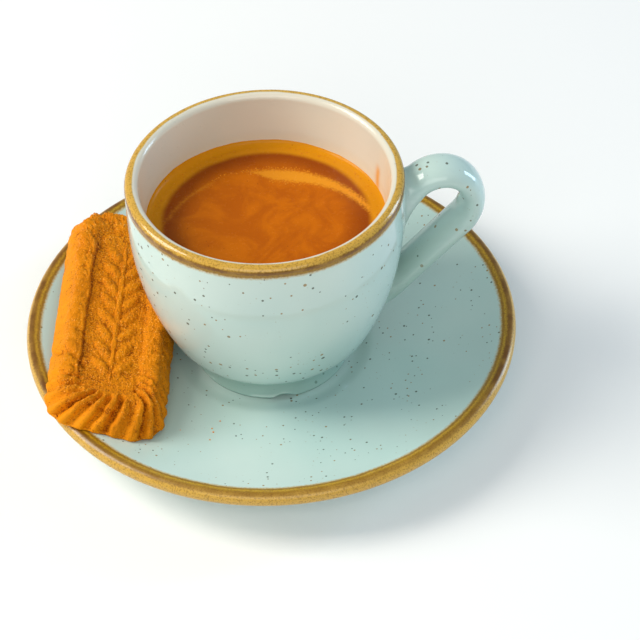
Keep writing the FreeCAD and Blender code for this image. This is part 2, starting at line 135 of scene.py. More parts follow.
class CupSettings(bpy.types.PropertyGroup):
    base: length("Base", "Height of the cup's foot above the table", CUP_BOX[0].z / MM)
    top: length("Top", "Height of the lip above the table", CUP_BOX[1].z / MM)
    radius: length("Radius", "Outside of the mouth", 32.1)
    wall: length("Wall", "Thickness of the side", 4.0)
    lip_round: length("Lip round", "Radius of the rounded lip", 1.6)
    side_start: length("Side start", "Where the upright band hands over to the curved side", 43.8)
    side_curve: length("Side curve", "Radius of the side", 75)
    side_turn: angle("Side turn", "How far the side turns in", 24.5)
    belly_curve: length("Belly curve", "Radius of the belly below the side", 12)
    belly_turn: angle("Belly turn", "How far the belly turns in", 50)
    bowl_floor: length("Bowl floor", "Height of the bowl's floor above the foot", 7.4)
    foot_radius: length("Foot radius", "Outside of the foot ring", 18.9)
    foot_edge: length("Foot edge", "Rounding at the bottom of the foot", 0.8)
    foot_hollow: length("Foot hollow", "Radius of the hollow above the foot", 6)
    foot_inner: length("Foot inside", "Inside of the foot ring", 15)
    foot_recess: length("Foot recess", "Depth of the hollow under the cup", 2)
    notch_height: length("Notch height", "Height of the drain notches", 1.4)
    notch_curve: length("Notch curve", "Radius of the drain notches", 5)
    notch_count: IntProperty(name="Notches", description="Drain notches round the foot", default=3)
    facets: IntProperty(name="Facets", description="Steps round the cup", default=280, min=24)


class HandleSettings(bpy.types.PropertyGroup):
    seat: length("Seat", "Start of the centre line, inside the wall", 26)
    height: length("Height", "Height of that start above the cup's foot", 34.1)
    rise_angle: angle("Rise angle", "Slope of the first straight stretch", 53.3)
    rise_length: length("Rise length", "Length of that stretch", 14.8)
    crown_curve: length("Crown curve", "Radius over the top", 7.5)
    crown_turn: angle("Crown turn", "Turn over the top", 112.5)
    bow_curve: length("Bow curve", "Radius of the outer bow", 9.5)
    bow_turn: angle("Bow turn", "Turn round the outer bow", 74.4)
    leg_length: length("Leg length", "Straight leg back down to the cup", 24)
    bend_curve: length("Bend curve", "Radius of the last bend into the wall", 8)
    bend_turn: angle("Bend turn", "Turn of the last bend", 44)
    root_length: length("Root length", "Last straight stretch, inside the wall", 5)
    width: length("Width", "Across the strap", 10.3)
    thick: length("Thickness", "Through the strap", 6.1)
    blend: length("Root blend", "Radius where the strap flows into the wall", 3.2)


class DrinkSettings(bpy.types.PropertyGroup):
    level: length("Level", "Height of the surface above the cup's foot", 40.3)
    meniscus: length("Meniscus", "How far the edge climbs the wall all round", 0.5)
    film: length("Film", "How much further a thin film climbs on its highest side", 1.1)
    film_side: angle("Film side", "Direction of that side, from the handle's", 128)
    edge_radius: length("Edge radius", "Where the golden edge of the crema begins", 24.5)
    # The crescent is painted light: light from the lit inside wall, reflected onto the crema. These three
    # place and size it.
    crescent_radius: length("Crescent radius", "Outer circle of the pale crescent", 26.6)
    crescent_shift: length("Crescent shift", "How far forward that circle's middle lies", 8)
    crescent_thick: length("Crescent thickness", "Thickest part of the crescent", 5)
    body: colour("Body", "Middle of the crema", 200, 106, 2)
    swirl: colour("Swirl", "Darker swirls in the crema", 176, 86, 1)
    # A real thin film of crema on the meniscus, with painted light on it.
    edge: colour("Edge", "Golden crema along the wall", 214, 140, 10)
    # Painted shade and painted reflection of the shaded wall: a dark ring inside the golden edge. The crema's
    # real dark specks take this colour too.
    shade: colour("Shade", "Thin, dark crema inside the edge", 138, 60, 0)
    # Painted light: the colour of the crescent of light on the crema; the cup's real drip of crema is painted
    # in it too.
    crescent: colour("Crescent", "Thick, pale crema in a crescent", 228, 148, 32)


class BiscuitSettings(bpy.types.PropertyGroup):
    length: length("Length", "Along the biscuit, at its base", 74)
    width: length("Width", "Across the biscuit, at its base", 29.2)
    thick: length("Thickness", "From its base to its border", 6.4)
    skew: length("Skew", "How far the near end runs out of square", 2)
    flare: angle("Flare", "Slope of the sides", 25)
    corner: length("Corner", "Radius of the corners", 8.2)
    top_round: length("Top round", "Rounding of the upper edge", 2.4)
    base_round: length("Base round", "Rounding of the lower edge", 1)
    field_length: length("Field length", "Sunk field, along the biscuit", 56)
    field_width: length("Field width", "Sunk field, across the biscuit", 14.5)
    field_depth: length("Field depth", "Depth of the sunk field", 1)
    crimp_pitch: length("Crimp pitch", "From one crimp to the next", 4.3)
    crimp_depth: length("Crimp depth", "Deepest crimps, at the near end", 2.0)
    ear_length: length("Ear length", "Length of the ear of grain in relief", 44)
    kernel_pairs: IntProperty(name="Kernel pairs", description="Pairs of kernels on the ear", default=8)
    kernel_length: length("Kernel length", "Length of each kernel", 6.4)
    kernel_width: length("Kernel width", "Width of each kernel", 2.6)
    kernel_height: length("Kernel height", "Height of each kernel", 0.8)
    kernel_lean: angle("Kernel lean", "How far the kernels lean off the stem", 38)
    kernel_sway: angle("Kernel sway", "How far single kernels stray from that lean", 6)
    across: length("Across", "Where the middle lies, square to the handle's line", -36.7)
    along: length("Along", "Where the middle lies, along the biscuit", 4.4)
    middle: length("Middle", "Height of the middle above the table", 16.26)
    turn: angle("Turn", "Turn on the saucer", -10.8)
    tilt: angle("Tilt", "Lean of the left side up on the rim", 11.54)
    dip: angle("Dip", "Fall of the far end", 0.63)
    crust: colour("Crust", "Baked colour of the border", 218, 126, 2)
    # Real golden tone in the crust's clouds and the sugar grains, and painted light that makes the smooth
    # left side paler.
    golden: colour("Golden", "Paler colour of the smooth sides", 238, 150, 4)
    # Real browning, and painted shade in hollows, cracks, crimps, the sunk field and on the right side.
    browned: colour("Browned", "Dark colour in crimps and cracks", 130, 50, 0)
    sugar: colour("Sugar", "Melted sugar grains", 250, 180, 60)


class GlazeSettings(bpy.types.PropertyGroup):
    glaze: colour("Glaze", "Sea-green outside", 202, 219, 211)
    pool: colour("Pooled glaze", "Where the glaze lies thicker", 180, 207, 201)
    # Painted shade: darker teal round the cup's foot, under its belly, and on the handle's lower leg, which
    # lies in the cup's shadow.
    deep: colour("Deep glaze", "Where it gathers round the cup's foot", 118, 160, 146)
    inside: colour("Inside", "Warm white inside of the cup", 222, 213, 194)
    gold: colour("Gold", "Outer edge of the painted band", 206, 162, 66)
    ochre: colour("Ochre", "Inner side of the painted band", 186, 144, 28)
    burnt: colour("Burnt", "Dark core of the painted band", 108, 66, 0)
    freckle: colour("Freckle", "Darker freckles", 78, 84, 70)
    rust: colour("Rust", "Browner freckles", 150, 118, 60)


class StageSettings(bpy.types.PropertyGroup):
    lens: FloatProperty(name="Lens", description="Focal length in millimetres", default=130.33)
    distance: length("Distance", "From the camera to what it looks at", 542.7)
    heading: angle("Heading", "Turn of the view from the +Y direction, to the right", 8.28)
    pitch: angle("Pitch", "How far the camera looks down", 44.09)
    roll: angle("Roll", "Lean of the camera", -1.6)
    aim_right: length("Aim right", "What it looks at, from the middle of the object", 9.8)
    aim_back: length("Aim back", "What it looks at, behind the middle of the object", -14.5)
    aim_down: length("Aim down", "What it looks at, below the middle of the object", 4.55)


class EspressoSettings(bpy.types.PropertyGroup):
    saucer: PointerProperty(type=SaucerSettings)
    cup: PointerProperty(type=CupSettings)
    handle: PointerProperty(type=HandleSettings)
    drink: PointerProperty(type=DrinkSettings)
    biscuit: PointerProperty(type=BiscuitSettings)
    glaze: PointerProperty(type=GlazeSettings)
    stage: PointerProperty(type=StageSettings)


def settings():
    return bpy.context.scene.espresso


# ---------------------------------------------------------------- node helpers

def feed(slot, value):
    """Links a signal to a socket, or sets the socket to a plain value."""
    if isinstance(value, Signal):
        value.tree.links.new(value.socket, slot)
    elif slot.type == "RGBA" and len(value) == 3:
        slot.default_value = (*value, 1.0)
    else:
        slot.default_value = value


def place(tree, kind, output, inputs=(), **options):
    """Adds a node with its options and inputs set, and gives one of its outputs.

    Inputs and outputs go by name, or by number where names repeat.
    """
    node = tree.nodes.new(kind)
    for option, value in options.items():
        setattr(node, option, value)
    for name, value in dict(inputs).items():
        feed(node.inputs[name], value)
    return Signal(tree, node.outputs[output])


class Signal:
    """A socket of a node tree that plain formulas can work with."""

    def __init__(self, tree, socket):
        self.tree = tree
        self.socket = socket

    def beside(self, output):
        """Another output of the same node."""
        return Signal(self.tree, self.socket.node.outputs[output])

    def work(self, operation, *others):
        values = dict(enumerate((self,) + others))
        return place(self.tree, "ShaderNodeMath", 0, values, operation=operation)

    def __add__(self, other):
        return self.work("ADD", other)

    def __sub__(self, other):
        return self.work("SUBTRACT", other)

    def __mul__(self, other):
        return self.work("MULTIPLY", other)

    def __truediv__(self, other):
        return self.work("DIVIDE", other)

    def size(self):
        return self.work("ABSOLUTE")

    def flipped(self):
        """One minus the signal."""
        return self * -1.0 + 1.0

    def rise(self, low, high):
        """0 below low and 1 above high, with a soft slope between."""
        return place(self.tree, "ShaderNodeMapRange", "Result",
                     {"Value": self, "From Min": low, "From Max": high}, interpolation_type="SMOOTHSTEP")

    def fall(self, low, high):
        """1 below low and 0 above high."""
        return self.rise(low, high).flipped()


def blend_colours(factor, first, second):
    """The first colour where the factor is 0 and the second where it is 1."""
    return place(factor.tree, "ShaderNodeMix", 2, {0: factor, 6: first, 7: second}, data_type="RGBA")


def noise_signal(where, scale, detail=2.0, roughness=0.5, distortion=0.0):
    return place(where.tree, "ShaderNodeTexNoise", "Fac", {
        "Vector": where, "Scale": scale, "Detail": detail, "Roughness": roughness, "Distortion": distortion})


def attribute_signal(where, name):
    return place(where.tree, "ShaderNodeAttribute", "Fac", attribute_name=name, attribute_type="GEOMETRY")


def new_tree(name, kind, inputs, outputs):
    """A node group with named sockets; gives the tree, its inputs as signals and its output's sockets."""
    tree = bpy.data.node_groups.new(name, kind)
    for label, (socket_kind, default) in inputs.items():
        socket = tree.interface.new_socket(label, in_out="INPUT", socket_type="NodeSocket" + socket_kind)
        if default is not None:
            socket.default_value = default
    for label, socket_kind in outputs.items():
        tree.interface.new_socket(label, in_out="OUTPUT", socket_type="NodeSocket" + socket_kind)
    source = tree.nodes.new("NodeGroupInput")
    given = {label: Signal(tree, source.outputs[label]) for label in inputs}
    return tree, given, tree.nodes.new("NodeGroupOutput").inputs


def ready_tree(name):
    """The node group of this name, built the first time it is wanted."""
    if name not in bpy.data.node_groups:
        TREE_MAKERS[name]()
    return bpy.data.node_groups[name]


def use_group(name, output, inputs):
    return place(inputs["Vector"].tree, "ShaderNodeGroup", output, inputs, node_tree=ready_tree(name))


# ---------------------------------------------------------------- shader groups

def make_freckle_group():
    """Small round freckles of mixed size, crowded here and scarce there."""
    tree, given, result = new_tree("Freckles", "ShaderNodeTree", {
        "Vector": ("Vector", None), "Scale": ("Float", 500.0),
        "Size": ("Float", 0.13), "Crowding": ("Float", 0.5)}, {"Mask": "Float", "Kind": "Float"})
    distance = place(tree, "ShaderNodeTexVoronoi", "Distance",
                     {"Vector": given["Vector"], "Scale": given["Scale"]})
    luck = place(tree, "ShaderNodeSeparateColor", 0, {"Color": distance.beside("Color")})
    crowd = noise_signal(given["Vector"], given["Scale"] * 0.14, 1.0) - given["Crowding"]
    radius = given["Size"] * (luck * 0.75 + 0.4) * crowd.rise(-0.1, 0.08)
    feed(result["Mask"], (radius - distance).rise(0.0, 0.035))
    feed(result["Kind"], luck.beside(1))


def make_band_group():
    """A painted band with a light edge, a dark ragged core and a soft tail that fades into the glaze."""
    tree, given, result = new_tree("Painted band", "ShaderNodeTree", {
        "Vector": ("Vector", None), "Across": ("Float", 0.0), "Core": ("Float", 2.3),
        "Core Half": ("Float", 0.6), "End": ("Float", 4.9), "Start": ("Float", -2.5),
        "Burn": ("Float", 1.0), "Light": ("Color", None), "Tail": ("Color", None),
        "Dark": ("Color", None)}, {"Colour": "Color", "Mask": "Float"})
    where = given["Vector"]
    ragged = noise_signal(where, 1700.0, 3.0) - 0.5
    waves = noise_signal(where, 150.0, 2.0) - 0.5
    across = given["Across"] + ragged * 0.8 + waves * 0.4
    core = ((across - given["Core"]).size() / given["Core Half"]).fall(0.45, 1.5)
    patchy = noise_signal(where, 260.0, 3.0).rise(0.25, 0.7) * 0.4 + 0.6
    line = (across - given["End"] + 1.15).size().fall(0.15, 0.55)
    grains = noise_signal(where, 2600.0, 2.0).rise(0.46, 0.66)
    scorch = noise_signal(where, 75.0, 3.0, 0.6).rise(0.69, 0.74) * core
    shade = blend_colours((across - given["Core"]).rise(-0.2, 0.5), given["Light"], given["Tail"])
    for mask in (line * 0.5, grains * 0.45, core * patchy * given["Burn"]):
        shade = blend_colours(mask, shade, given["Dark"])
    feed(result["Colour"], blend_colours(scorch, shade, CHARRED))
    started = given["Across"] + waves * 0.5 - given["Start"]
    feed(result["Mask"], (given["End"] - across).rise(0.0, 1.1) * started.rise(0.0, 0.4))


def make_cloud_group():
    """Slow clouds with a finer grain on top, from 0 to 1."""
    tree, given, result = new_tree("Clouding", "ShaderNodeTree", {
        "Vector": ("Vector", None), "Scale": ("Float", 30.0), "Grain": ("Float", 0.3)}, {"Cloud": "Float"})
    slow = noise_signal(given["Vector"], given["Scale"], 2.0).rise(0.3, 0.7)
    fine = noise_signal(given["Vector"], given["Scale"] * 9.0, 3.0)
    feed(result["Cloud"], slow * given["Grain"].flipped() + fine * given["Grain"])


def freckles(where, scale, size, crowding):
    return use_group("Freckles", "Mask",
                     {"Vector": where, "Scale": scale, "Size": size, "Crowding": crowding})


def clouding(where, scale, grain):
    return use_group("Clouding", "Cloud", {"Vector": where, "Scale": scale, "Grain": grain})


# ---------------------------------------------------------------- materials

def new_material(name, **uniform):
    """A new material, its shader's sockets and its coordinates; uniform values go on the shader itself."""
    material = bpy.data.materials.new(name)
    material.use_nodes = True
    shader = material.node_tree.nodes["Principled BSDF"].inputs
    for label, value in uniform.items():
        feed(shader[label.replace("_", " ")], value)
    return material, shader, place(material.node_tree, "ShaderNodeTexCoord", "Object")


def dress(shader, shade, roughness, relief=None, depth=0.0):
    feed(shader["Base Color"], shade)
    feed(shader["Roughness"], roughness)
    if relief:
        feed(shader["Normal"], place(relief.tree, "ShaderNodeBump", "Normal",
                                     {"Height": relief, "Distance": depth, "Strength": 1.0}))


def glaze_material(name, band, speckle):
    """Sea-green speckled glaze and its painted band, read from the piece's own "rim" attribute.

    The band is burnt less at the front than round the rest.
    """
    tints = settings().glaze
    material, shader, where = new_material(name, IOR=1.5)
    along = place(where.tree, "ShaderNodeSeparateXYZ", "Y", {"Vector": where})
    shade = blend_colours(clouding(where, 22.0, 0.12), tints.glaze, tints.pool)
    spots = freckles(where, *speckle)
    spot_shade = blend_colours(spots.beside("Kind").rise(0.45, 0.75), tints.freckle, tints.rust)
    shade = blend_colours(freckles(where, 760.0, 0.15, 0.54) * 0.3, shade, tints.rust)
    shade = blend_colours(spots * 0.85, shade, spot_shade)
    painted = use_group("Painted band", "Mask", {
        "Vector": where, "Across": attribute_signal(where, "rim"), "Light": tints.gold,
        "Tail": tints.ochre, "Dark": tints.burnt,
        "Burn": along.rise(-55 * MM, -25 * MM) * 0.35 + 0.65, **band})
    return material, shader, where, shade, painted, spots


def saucer_material():
    material, shader, where, shade, painted, spots = glaze_material(
        "Saucer glaze", {"Core": 2.35, "Core Half": 0.75, "End": 5.2, "Start": -2.6}, (620.0, 0.18, 0.455))
    shade = blend_colours(painted, shade, painted.beside("Colour"))
    dress(shader, shade, painted * 0.16 + 0.14, noise_signal(where, 120.0) + spots * 0.4, GLAZE_RELIEF)
    return material


def cup_material():
    tints = settings().glaze
    material, shader, where, shade, painted, spots = glaze_material(
        "Cup glaze", {"Core": 2.5, "Core Half": 0.5, "End": 4.5, "Start": -0.2}, (470.0, 0.2, 0.42))
    inside = attribute_signal(where, "inside")
    cream = blend_colours(clouding(where, 40.0, 0.2) * 0.25, tints.inside, tints.glaze)
    # Painted shade: darker teal round the foot and on the handle's lower leg.
    shade = blend_colours(attribute_signal(where, "foot") * 0.6, shade, tints.deep)
    shade = blend_colours(inside, shade, cream)
    shade = blend_colours(painted, shade, painted.beside("Colour"))
    # A real drip of crema on the inside wall, in the colour of the crescent of painted light.
    shade = blend_colours(attribute_signal(where, "stain") * 0.85, shade, settings().drink.crescent)
    dress(shader, shade, painted * 0.08 + inside * 0.1 + 0.08,
          noise_signal(where, 130.0) + spots * 0.4, GLAZE_RELIEF)
    return material


def crema_material():
    """Layered crema: faint swirls in the middle, a crescent of painted light, a ring of painted shade and a
    golden edge that is partly painted light.

    The rings are read from the drink's own attributes for the edge and the lit crescent, in millimetres.
    """
    tints = settings().drink
    material, shader, where = new_material("Crema", IOR=1.36, Specular_IOR_Level=0.2)
    swirl = noise_signal(where, 85.0, 5.0, 0.62, 1.3).rise(0.38, 0.64)
    fine = noise_signal(where, 1100.0, 3.0, 0.6)
    ripple = (noise_signal(where, 160.0, 4.0) - 0.5) * 1.5
    frayed = (noise_signal(where, 1900.0) - 0.5) * 2.2
    edge = attribute_signal(where, "edge") + ripple * 0.5
    # Painted light: a crescent of light reflected from the lit inside wall, with a frayed border, laid on
    # below at its strength.
    pale = (attribute_signal(where, "crescent") + frayed + ripple * 0.3).rise(-0.2, 1.5)
    streaks = noise_signal(where, 420.0).rise(0.56, 0.7) * 0.18
    shade = blend_colours(swirl * 0.75 + fine * 0.25, tints.swirl, tints.body)
    # Painted shade and painted reflection of the shaded wall, in a dark ring inside the golden edge.
    shade = blend_colours(edge.rise(-8.0, -0.8) * 0.85, shade, tints.shade)
    shade = blend_colours(pale * attribute_signal(where, "crescent_strength"), shade, tints.crescent)
    # The golden edge: a real thin film of crema along the wall, partly painted light on the meniscus.
    shade = blend_colours(edge.rise(-1.1, 0.8) * 0.93, shade,
                          blend_colours(streaks, tints.edge, tints.crescent))
    # Real dark specks in the crema, in the colour of the painted shade.
    shade = blend_colours(freckles(where, 560.0, 0.1, 0.49) * 0.7, shade, tints.shade)
    dress(shader, shade, fine * 0.12 + 0.2, fine + swirl, CREMA_RELIEF)
    return material


def biscuit_material():
    """Baked crust, coloured by its browning attribute: real browning, painted shade in hollows and painted
    light on raised parts. Bare of sugar on the smooth left side, which carries painted light that makes it
    paler.
    """
    tints = settings().biscuit
    material, shader, where = new_material("Baked biscuit", IOR=1.45, Specular_IOR_Level=0.15)
    smooth = attribute_signal(where, "smooth_side")
    grain = noise_signal(where, 2600.0, 3.0, 0.65)
    # Real browning and painted shade, from the browning attribute and the grain.
    browned = (attribute_signal(where, "bake") + (grain - 0.5) * 3.4).rise(0.1, 1.1)
    sparkle = freckles(where, 1300.0, 0.3, 0.47) * smooth.flipped()
    # Painted light: the smooth left side, facing the light, is painted paler towards golden.
    shade = blend_colours(clouding(where, 120.0, 0.5) * 0.55 + smooth * 0.45, tints.crust, tints.golden)
    shade = blend_colours(browned * 0.85, shade, tints.browned)
    shade = blend_colours(sparkle * 0.32, shade, tints.sugar)
    dress(shader, shade, sparkle * -0.25 + 0.62, grain * smooth.flipped() + sparkle * 0.3, CRUST_RELIEF)
    return material


def sugar_material():
    tints = settings().biscuit
    material, shader, where = new_material("Sugar grains", IOR=1.5)
    cloud = clouding(where, 700.0, 0.4)
    dress(shader, blend_colours(cloud, tints.golden, tints.sugar), cloud * 0.2 + 0.25)
    return material


def floor_material():
    material, shader, where = new_material("Pale floor")
    dress(shader, blend_colours(clouding(where, 2.0, 0.3), *FLOOR_SHADES), 0.6)
    return material


# ---------------------------------------------------------------- mesh helpers

def link_object(name, mesh):
    piece = bpy.data.objects.new(name, mesh)
    bpy.context.scene.collection.objects.link(piece)
    return piece


def mesh_from(name, points, faces):
    mesh = bpy.data.meshes.new(name)
    mesh.from_pydata([tuple(p) for p in points], [], [tuple(int(i) for i in f) for f in faces])
    mesh.update()
    return mesh


def grid_faces(rows, columns, wrapped=True):
    """Quads over rows of points; a wrapped grid closes round its columns."""
    across = columns if wrapped else columns - 1
    row, column = np.meshgrid(np.arange(rows - 1), np.arange(across), indexing="ij")
    after = (column + 1) % columns
    corners = [row * columns + column, row * columns + after,
               (row + 1) * columns + after, (row + 1) * columns + column]
    return np.stack(corners, -1).reshape(-1, 4).tolist()


def closed_rings(name, rings, tip_shift=(0.0, 0.0, 0.0)):
    """A closed mesh from rings of points; the end rings close at their middles, moved by the shift."""
    rows, columns = rings.shape[:2]
    tips = [rings[0].mean(0) + tip_shift, rings[-1].mean(0) + tip_shift]
    faces = grid_faces(rows, columns)
    for ring, tip in ((0, rows * columns), (rows - 1, rows * columns + 1)):
        faces += [(ring * columns + i, ring * columns + (i + 1) % columns, tip) for i in range(columns)]
    return mesh_from(name, np.vstack([rings.reshape(-1, 3), tips]), faces)


def flat_bed(name, cells, half, height):
    """A level square of cells, as a floor or as a bed for strewn grains."""
    bed = bmesh.new()
    bmesh.ops.create_grid(bed, x_segments=cells, y_segments=cells, size=half)
    mesh = bpy.data.meshes.new(name)
    bed.to_mesh(mesh)
    bed.free()
    mesh.transform(Matrix.Translation((0, 0, height)))
    return mesh


def tidy_mesh(mesh, sharp=math.radians(38)):
    """Welds doubles, drops faces with no area, turns the faces outwards and shades them smooth."""
    shape = bmesh.new()
    shape.from_mesh(mesh)
    bmesh.ops.remove_doubles(shape, verts=shape.verts, dist=WELD)
    bmesh.ops.dissolve_degenerate(shape, edges=shape.edges, dist=WELD)
    bmesh.ops.recalc_face_normals(shape, faces=shape.faces)
    shape.to_mesh(mesh)
    shape.free()
    mesh.polygons.foreach_set("use_smooth", [True] * len(mesh.polygons))
    mesh.set_sharp_from_angle(angle=sharp)
    mesh.update()


def points_of(mesh):
    flat = np.empty(len(mesh.vertices) * 3)
    mesh.vertices.foreach_get("co", flat)
    return flat.reshape(-1, 3)


def move_points(mesh, where):
    mesh.vertices.foreach_set("co", where.ravel())
    mesh.update()


def set_attributes(mesh, **marks):
    """Marks every point; a single number marks them all alike."""
    for name, values in marks.items():
        layer = mesh.attributes.new(name, "FLOAT", "POINT")
        layer.data.foreach_set("value", np.broadcast_to(values, len(mesh.vertices)).astype(np.float32))


def finish_piece(piece, slot, *stands_for):
    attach(piece, "root")
    if stands_for:
        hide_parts(*stands_for)


def soft_step(values, low, high):
    share = np.clip((values - low) / (high - low), 0.0, 1.0)
    return share * share * (3.0 - 2.0 * share)


def bell(values, width):
    """1 where the values are 0, falling off on both sides like a bell."""
    return np.exp(-(values / width) ** 2)


def lumps(points, scale, octaves, seed):
    """Smooth random heights, about -1 to 1, at every point."""
    shift = Vector((seed * 7.31, seed * 3.17, seed * 5.53))
    return np.array([noise.fractal(Vector(p) * scale + shift, 1.0, 2.0, octaves) for p in points])


# ---------------------------------------------------------------- geometry nodes

def end_tree(geometry, material, output):
    """Every tree ends by making instances real and giving the result its material."""
    real = place(geometry.tree, "GeometryNodeRealizeInstances", "Geometry", {"Geometry": geometry})
    feed(output, place(geometry.tree, "GeometryNodeSetMaterial", "Geometry",
                       {"Geometry": real, "Material": material}))


def make_turning_tree():
    """Turns an outline, drawn as a line of points beside the spindle, into a closed round piece."""
    tree, given, result = new_tree("Turned ware", "GeometryNodeTree", {
        "Outline": ("Geometry", None), "Facets": ("Int", 256), "Spindle": ("Float", SPINDLE),
        "Glaze": ("Material", None)}, {"Ware": "Geometry"})
    circle = place(tree, "GeometryNodeCurvePrimitiveCircle", "Curve",
                   {"Resolution": given["Facets"], "Radius": given["Spindle"]})
    upright = place(tree, "GeometryNodeSetCurveNormal", "Curve", {"Curve": circle}, mode="Z_UP")
    outline = place(tree, "GeometryNodeMeshToCurve", "Curve", {"Mesh": given["Outline"]})
    swept = place(tree, "GeometryNodeCurveToMesh", "Mesh", {"Curve": upright, "Profile Curve": outline})
    welded = place(tree, "GeometryNodeMergeByDistance", "Geometry", {"Geometry": swept, "Distance": WELD})
    end_tree(welded, given["Glaze"], result["Ware"])


def make_scatter_tree():
    """Strews small rough grains over a surface, as thickly as its "strewn" attribute says."""
    tree, given, result = new_tree("Strewn grains", "GeometryNodeTree", {
        "Surface": ("Geometry", None), "Density": ("Float", 1000.0), "Smallest": ("Float", 0.1 * MM),
        "Largest": ("Float", 0.3 * MM), "Flatness": ("Float", 1.0), "Sunk": ("Float", 0.0),
        "Roundness": ("Int", 1), "Seed": ("Int", 1), "Finish": ("Material", None)}, {"Grains": "Geometry"})

    def random(low, high, seed):
        return place(tree, "FunctionNodeRandomValue", 1, {2: low, 3: high, "Seed": seed}, data_type="FLOAT")

    weight = place(tree, "GeometryNodeInputNamedAttribute", "Attribute", {"Name": "strewn"},
                   data_type="FLOAT")
    points = place(tree, "GeometryNodeDistributePointsOnFaces", "Points", {
        "Mesh": given["Surface"], "Seed": given["Seed"], "Density": given["Density"] * weight})
    grain = place(tree, "GeometryNodeMeshIcoSphere", "Mesh",
                  {"Radius": 1.0, "Subdivisions": given["Roundness"]})
    size = random(given["Smallest"], given["Largest"], given["Seed"])
    side = random(0.65, 1.0, given["Seed"] + 5.0)
    shape = place(tree, "ShaderNodeCombineXYZ", 0,
                  {"X": size, "Y": size * side, "Z": size * side * given["Flatness"]})
    spin = place(tree, "FunctionNodeAxisAngleToRotation", 0, {
        "Axis": (0.0, 0.0, 1.0), "Angle": random(0.0, 2.0 * math.pi, given["Seed"] + 9.0)})
    turned = place(tree, "FunctionNodeRotateRotation", 0,
                   {"Rotation": points.beside("Rotation"), "Rotate By": spin}, rotation_space="LOCAL")
    sunk = place(tree, "ShaderNodeVectorMath", 0, {
        0: points.beside("Normal"), "Scale": size * given["Sunk"] * -1.0}, operation="SCALE")
    lowered = place(tree, "GeometryNodeSetPosition", "Geometry", {"Geometry": points, "Offset": sunk})
    grains = place(tree, "GeometryNodeInstanceOnPoints", "Instances", {
        "Points": lowered, "Instance": grain, "Rotation": turned, "Scale": shape})
    end_tree(grains, given["Finish"], result["Grains"])


def run_tree(name, source, tree_name, inputs):
    """Runs a tree on a source mesh and keeps its result as a plain mesh with no modifier."""
    piece = link_object(name, source)
    modifier = piece.modifiers.new(tree_name, "NODES")
    modifier.node_group = ready_tree(tree_name)
    for item in modifier.node_group.interface.items_tree:
        if item.item_type == "SOCKET" and item.in_out == "INPUT" and item.name in inputs:
            modifier[item.identifier] = inputs[item.name]
    bpy.context.view_layer.update()
    graph = bpy.context.evaluated_depsgraph_get()
    mesh = bpy.data.meshes.new_from_object(piece.evaluated_get(graph), depsgraph=graph)
    mesh.name = name
    piece.modifiers.remove(modifier)
    piece.data = mesh
    bpy.data.meshes.remove(source)
    return piece


# ---------------------------------------------------------------- turned ware

class Section:
    """The outline of a turned piece: points (radius, height), joined by straight runs and arcs."""

    def __init__(self, radius, height):
        self.points = [np.array((radius, height))]

    def run(self, radius, height, step=1.2 * MM):
        start, end = self.points[-1], np.array((radius, height))
        count = max(1, round(np.linalg.norm(end - start) / step))
        self.points += [start + (end - start) * i / count for i in range(1, count + 1)]
        return self

    def arc(self, radius, height, curve, side, step=0.8 * MM):
        """An arc to the given place, with its centre to the left (1) or to the right (-1) of the way."""
        start, end = self.points[-1], np.array((radius, height))
        chord = end - start
        span = np.linalg.norm(chord)
        left = np.array((-chord[1], chord[0])) / span
        centre = start + chord / 2 + left * side * math.sqrt(max(curve ** 2 - span ** 2 / 4, 0.0))
        sweep = 2.0 * math.asin(min(1.0, span / 2 / curve)) * side
        first = math.atan2(start[1] - centre[1], start[0] - centre[0])
        count = max(5, round(abs(sweep) * curve / step))
        for i in range(1, count + 1):
            turn = first + sweep * i / count
            self.points.append(centre + curve * np.array((math.cos(turn), math.sin(turn))))
        return self

    def soften(self, outer, inner, height):
        """Replaces the end of the outline, inside the outer radius, by a soft S down to a level floor."""
        while self.points[-1][0] < outer:
            self.points.pop()
        start, before = self.points[-1], self.points[-2]
        slope = (start[1] - before[1]) / (start[0] - before[0])
        span = start[0] - inner
        for share in np.linspace(0.0, 1.0, 17)[1:]:
            eased = soft_step(share, 0.0, 1.0)
            leaning = share * (1.0 - share) ** 2
            self.points.append(np.array((start[0] - span * share,
                                         start[1] + (height - start[1]) * eased - slope * span * leaning)))
        return self

    def way_to(self, radius, height):
        """For each place on the turned piece, how far along the outline it lies, in millimetres."""
        outline = np.array(self.points)
        gone = np.r_[0.0, np.cumsum(np.linalg.norm(np.diff(outline, axis=0), axis=1))] / MM
        near = [np.argmin(np.hypot(outline[:, 0] - r, outline[:, 1] - z)) for r, z in zip(radius, height)]
        return gone[near]

    def turned(self, name, facets, material):
        """The outline run through the turning tree."""
        line = bpy.data.meshes.new(name + "_outline")
        corners = [(p[0] - SPINDLE, -p[1], 0.0) for p in self.points]
        line.from_pydata(corners, [(i, i + 1) for i in range(len(corners) - 1)], [])
        return run_tree(name, line, "Turned ware",
                        {"Facets": facets, "Spindle": SPINDLE, "Glaze": material})


